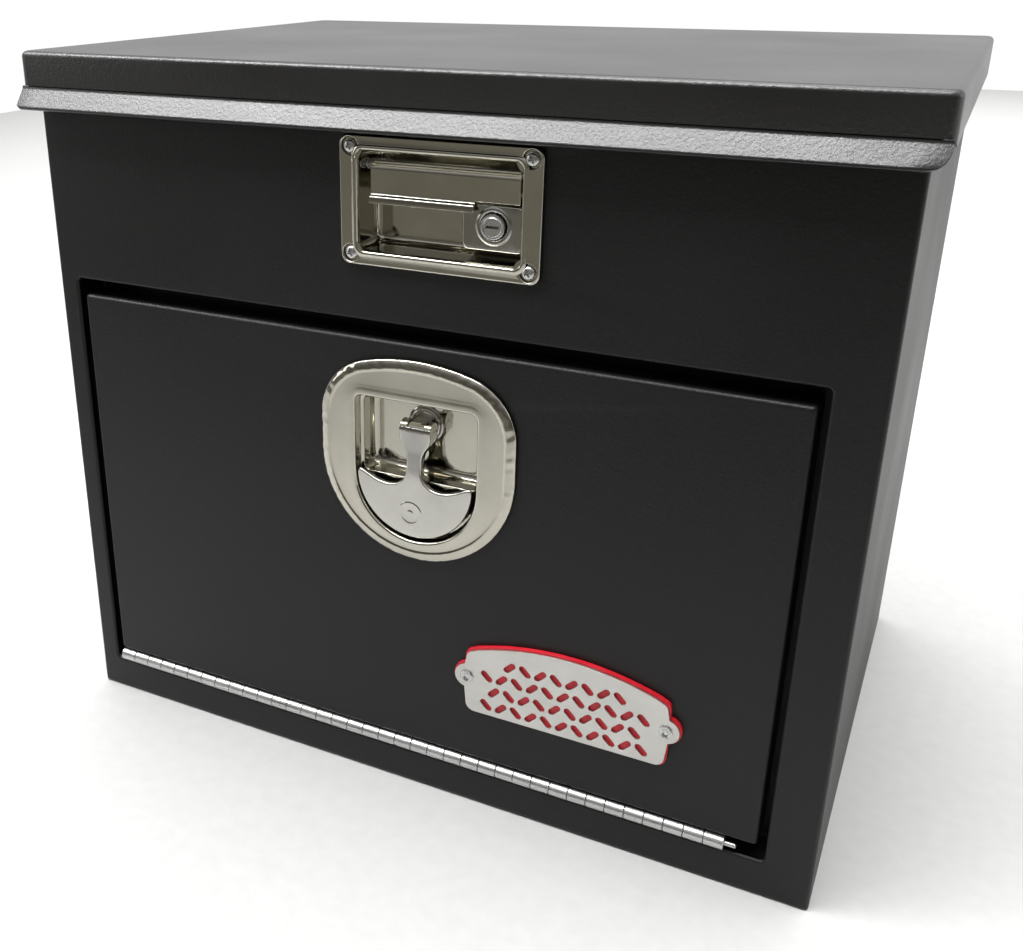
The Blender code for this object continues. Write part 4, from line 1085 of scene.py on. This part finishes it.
def screw_places():
    """Each plate screw's corner name, x and z."""
    found = []
    for name in ("upper_left", "upper_right", "lower_left", "lower_right"):
        low, high = mm_box(f"latch_screw_{name}")
        found.append((name, (low.x + high.x) / 2, (low.z + high.z) / 2))
    return found


def plate_rect(grow, radius, y, box=POCKET):
    left, right, low, high = box
    outline = rounded(left - grow, right + grow, low - grow, high + grow, radius, 8)
    return front_loop(shifted(outline, PLATE_X, PLATE_Z), y)


def build_latch_plate():
    """The drawn plate: its rim, a raised bead, the pocket and four dimples for the screws."""
    made = bmesh.new()
    face = PLATE_LOW.y
    half_width, half_height = PLATE_HIGH.x - PLATE_X, PLATE_HIGH.z - PLATE_Z
    outer = (-half_width, half_width, -half_height, half_height)
    rim_rows = (
        (-0.2, 6.0, -1.1),
        (0.0, 6.2, -1.4),
        (0.0, 6.2, face + 0.9),
        (-0.35, 5.9, face + 0.35),
        (-1.0, 5.4, face),
    )
    rim = add_loops(made, [plate_rect(*row, outer) for row in rim_rows])
    pocket_rows = (
        (4.2, 7.0, face),
        (3.8, 6.8, face - 0.25),
        (3.1, 6.4, face - 0.75),
        (2.3, 5.8, face - 0.95),
        (1.5, 5.3, face - 0.75),
        (0.8, 5.0, face - 0.1),
        (0.3, 4.6, face + 1.2),
        (0.0, 4.4, face + 2.6),
        (-0.8, 4.0, POCKET_DEPTH - 4.0),
        (-1.6, 3.4, POCKET_DEPTH - 1.8),
        (-3.0, 2.6, POCKET_DEPTH - 0.4),
        (-4.6, 2.0, POCKET_DEPTH),
    )
    pocket = add_loops(made, [plate_rect(*row) for row in pocket_rows])
    made.faces.new(pocket[-1])
    dimples = []
    for _, x, z in screw_places():
        circle = [
            front_loop(arc(x, z, radius, 0, 345, 23), y)
            for radius, y in ((5.9, face), (5.5, face + 0.25), (4.9, face + 2.0), (2.4, face + 2.1))
        ]
        rows = add_loops(made, circle)
        made.faces.new(rows[-1])
        dimples.append(rows[0])
    fill_between(made, [rim[-1], pocket[0]] + dimples)
    piece(
        "paddle_latch_bezel", made, "cabinet", POLISH, ["paddle_latch_dish"], outward=FRONT,
        sheet=LATCH_SHEET, angle=50
    )
    build_lock_block()


def build_lock_block():
    """The block that holds the lock: set into the pocket's floor, with a hole right through."""
    made = bmesh.new()
    back = POCKET_DEPTH + 0.3
    box = (12.0, 50.4, -24.0, 3.5)
    face = 5.0
    sides = (
        (0.6, 3.0, back),
        (0.0, 4.0, face + 1.8),
        (-0.25, 3.8, face + 0.9),
        (-0.9, 3.4, face + 0.2),
        (-1.6, 3.0, face),
    )
    rows = add_loops(made, [plate_rect(*row, box) for row in sides])
    collar = ((11.4, face), (11.0, face - 0.1), (10.6, face - 0.5), (9.6, face - 0.7))
    collar += ((8.6, face - 0.5), (8.0, face + 0.1), (7.8, face + 3.0), (7.8, back))
    circles = [(arc(LOCK_X, LOCK_Z, radius, 0, 352.5, 47), y) for radius, y in collar]
    ring = add_loops(made, [front_loop(outline, y) for outline, y in circles])
    fill_between(made, [rows[-1], ring[0]])
    fill_between(made, [rows[0], ring[-1]])
    piece("lock_block", made, "cabinet", POLISH_PAINTED_SHADE, outward=FRONT, angle=50)


def build_lock():
    """The lock's face with its keyway cut in."""
    made = bmesh.new()
    front, back = LOCK[0].y, LOCK[1].y
    profile = [(7.5, back), (7.5, front + 0.8), (7.2, front + 0.2), (6.6, front), (5.9, front + 0.1)]
    profile += [(5.6, front + 0.35), (5.3, front + 0.1)]
    turned(made, profile, (LOCK_X, 0, LOCK_Z), "Y", 48)
    lock = piece("lock_face", made, "lock", SATIN, ["paddle_lock_cylinder"])
    slot = rounded(LOCK_X - 4.2, LOCK_X + 4.2, LOCK_Z - 0.75, LOCK_Z + 0.75, 0.5, 3)
    cut_from(lock, plate_mesh(slot, [], front - 2, front + 6))


def cut_from(obj, made):
    """Cuts a closed shape from a piece and keeps the result as its mesh."""
    bmesh.ops.recalc_face_normals(made, faces=made.faces)
    mesh = bpy.data.meshes.new("cutter")
    made.to_mesh(mesh)
    made.free()
    mesh.transform(TO_SCENE)
    cutter = bpy.data.objects.new("cutter", mesh)
    bpy.context.scene.collection.objects.link(cutter)
    cut = obj.modifiers.new("cut", "BOOLEAN")
    cut.operation = "DIFFERENCE"
    cut.object = cutter
    obj.modifiers.move(len(obj.modifiers) - 1, 0)
    graph = bpy.context.evaluated_depsgraph_get()
    result = bpy.data.meshes.new_from_object(obj.evaluated_get(graph))
    obj.modifiers.clear()
    obj.data = result
    bpy.data.objects.remove(cutter)


CROSS_ARM = 2.3
CROSS_HALF = 0.45
CROSS_TURN = 25


def build_screws():
    """Pan heads with a cross recess."""
    face = PLATE_LOW.y
    arm, half = CROSS_ARM, CROSS_HALF
    turn = radians(CROSS_TURN)
    cross = [(half, half), (half, arm), (-half, arm), (-half, half), (-arm, half), (-arm, -half)]
    cross += [(-a, -b) for a, b in cross]
    for name, x, z in screw_places():
        made = bmesh.new()
        profile = [(3.9, face + 2.0), (4.1, face + 1.2), (3.8, face + 0.4), (3.0, face - 0.3)]
        profile += [(1.8, face - 0.6), (0.5, face - 0.7)]
        turned(made, profile, (x, 0, z), "Y", 32)
        screw = piece(
            f"plate_screw_{name}", made, "cabinet", SCREW_STEEL, [f"latch_screw_{name}"], angle=50
        )
        cut_from(screw, plate_mesh(placed(cross, turn, x, z), [], face - 3, face + 0.9))


def build_paddle():
    """A folded paddle: a rolled top edge over the pin, a flat face and an outward pull lip."""
    low, high = mm_box("paddle")
    face = low.y
    left, right = low.x + 0.2, high.x - 0.2
    step_x = PLATE_X + 21.0
    top, bottom = PLATE_Z + 22.3, PLATE_Z - 1.4
    step_z = PLATE_Z + 4.6

    def strip(name, x0, x1, outer, replaces=()):
        """A sheet profile in side view, given by its outer line, run between two x."""
        made = bmesh.new()
        points = [Vector(p) for p in outer]
        inner = []
        for i, point in enumerate(points):
            before = points[max(i - 1, 0)]
            after = points[min(i + 1, len(points) - 1)]
            along = (after - before).normalized()
            inner.append(point + Vector((along.y, -along.x)) * -PADDLE_SHEET)
        ring = points + inner[::-1]
        loops = [[Vector((x, p.x, p.y)) for p in ring] for x in (x0, x1)]
        rows = add_loops(made, loops)
        made.faces.new(rows[0])
        made.faces.new(rows[1])
        piece(name, made, "paddle", POLISH, replaces, bevel=0.35, angle=40)

    roll = 4.4
    fold = [(face + 8.5, top)] + [
        (face + roll - roll * sin(pi / 2 * i / 8), top - roll + roll * cos(pi / 2 * i / 8))
        for i in range(9)
    ]
    lip = [(face, bottom + 6.4), (face - 0.5, bottom + 5.0), (face - 2.0, bottom + 4.0)]
    lip += [(face - 2.6, bottom + 3.0), (face - 2.7, bottom)]
    strip("paddle_face", left, step_x, fold + lip, ["paddle"])
    strip("paddle_face_right", step_x - 0.6, right, fold + [(face, step_z)])


def build_paddle_barrel():
    """The rolled barrel along the paddle's pin."""
    low, high = mm_box("paddle_pin")
    axis = ((low.y + high.y) / 2, (low.z + high.z) / 2)
    paddle_low, paddle_high = mm_box("paddle")
    made = bmesh.new()
    start, end = paddle_low.x + 0.8, paddle_high.x - 0.8
    profile = [(2.6, start), (3.3, start + 0.4), (3.3, end - 0.4), (2.6, end)]
    turned(made, profile, (0, *axis), "X", 28)
    piece("paddle_barrel", made, "paddle", POLISH_PAINTED_SHADE)


# ---- badge


def badge_outline(grow=0.0):
    """An arched plate with a round ear at each end."""
    half, ear_reach, ear = 66.5 + grow, 66.0, 8.5 + grow
    bottom, shoulder, crown = -26.0 - grow, 20.5 + grow, 31.0 + grow
    corner = 6.0
    inner = half - corner
    rise = crown - shoulder
    radius = (inner**2 + rise**2) / (2 * rise)
    spread = degrees(atan2(inner, radius - rise))
    right_side = (
        arc(half - corner, bottom + corner, corner, -90, 0, 8)
        + arc(ear_reach, 0, ear, -78, 78, 20)
        + arc(half - corner + 1, shoulder - corner, corner - 1, 0, 80, 8)
    )
    right_half = right_side + arc(0, crown - radius, radius, 90 - spread, 90, 16)
    return right_half + [(-a, b) for a, b in reversed(right_half[:-1])]


SLOT_LENGTH = 9.8
SLOT_HALF_WIDTH = 2.2
SLOT_STEP = 10.4
SLOT_ROW_STEP = 11.0
SLOT_FIRST_ROW = -18.5
SLOTS_PER_ROW = (11, 10, 11, 8)


def tread_slots():
    """Short slanted slots in alternating rows, like tread plate."""
    run = SLOT_LENGTH / 2 - SLOT_HALF_WIDTH
    shape = arc(run, 0, SLOT_HALF_WIDTH, -90, 90, 6) + arc(-run, 0, SLOT_HALF_WIDTH, 90, 270, 6)
    slots = []
    for row, count in enumerate(SLOTS_PER_ROW):
        for i in range(count):
            a = (i - (count - 1) / 2) * SLOT_STEP
            b = SLOT_FIRST_ROW + row * SLOT_ROW_STEP
            turn = radians(45 if (i + row) % 2 else -45)
            slots.append(placed(shape, turn, a, b))
    return slots


def build_badge():
    x = (BADGE_LOW.x + BADGE_HIGH.x) / 2
    z = BADGE_LOW.z + 26.0
    back_low, back_high = mm_box("badge_backing")
    made = plate_mesh(shifted(badge_outline(1.0), x, z), [], back_low.y, back_high.y)
    piece("badge_back_plate", made, "door", RED, ["badge_backing"], bevel=0.35)
    holes = [shifted(slot, x, z) for slot in tread_slots()]
    made = plate_mesh(shifted(badge_outline(), x, z), holes, BADGE_LOW.y, BADGE_HIGH.y)
    piece("badge_face_plate", made, "door", BADGE_STEEL, ["badge_face"], bevel=0.25)
    for side in ("left", "right"):
        low, high = mm_box(f"badge_{side}_rivet")
        centre = ((low.x + high.x) / 2, 0, (low.z + high.z) / 2)
        made = bmesh.new()
        base, front = high.y, low.y
        profile = [(4.3, base + 0.2), (4.3, front + 0.3), (3.9, front), (3.2, front + 0.1)]
        profile += [(1.7, front + 0.7), (1.2, front + 1.6)]
        turned(made, profile, centre, "Y", 36)
        piece(f"badge_{side}_eyelet", made, "door", SATIN, [f"badge_{side}_rivet"], angle=40)


# ---- what stays from the CAD


def finish_cad_nodes():
    """The CAD nodes whose shape is right take the same finishes as the pieces round them."""
    finishes = (COAT, POLISH, SATIN, RUBBER, ZINC, RED, ENAMEL)
    materials = {slot: material for material, slot in finishes}
    for part in frame["record"]["subparts"]:
        obj = frame["nodes"][part["node"]]
        obj.data.materials.clear()
        obj.data.materials.append(materials[part["material_slot"]])


bpy.context.scene.view_settings.view_transform = "Standard"
add_camera()
add_stage()
finish_cad_nodes()
build_cabinet()
build_rim()
build_door_frame()
build_lid()
build_door()
build_hinges()
build_dish()
build_spindle()
build_grip()
build_latch_plate()
build_lock()
build_screws()
build_paddle()
build_paddle_barrel()
build_badge()
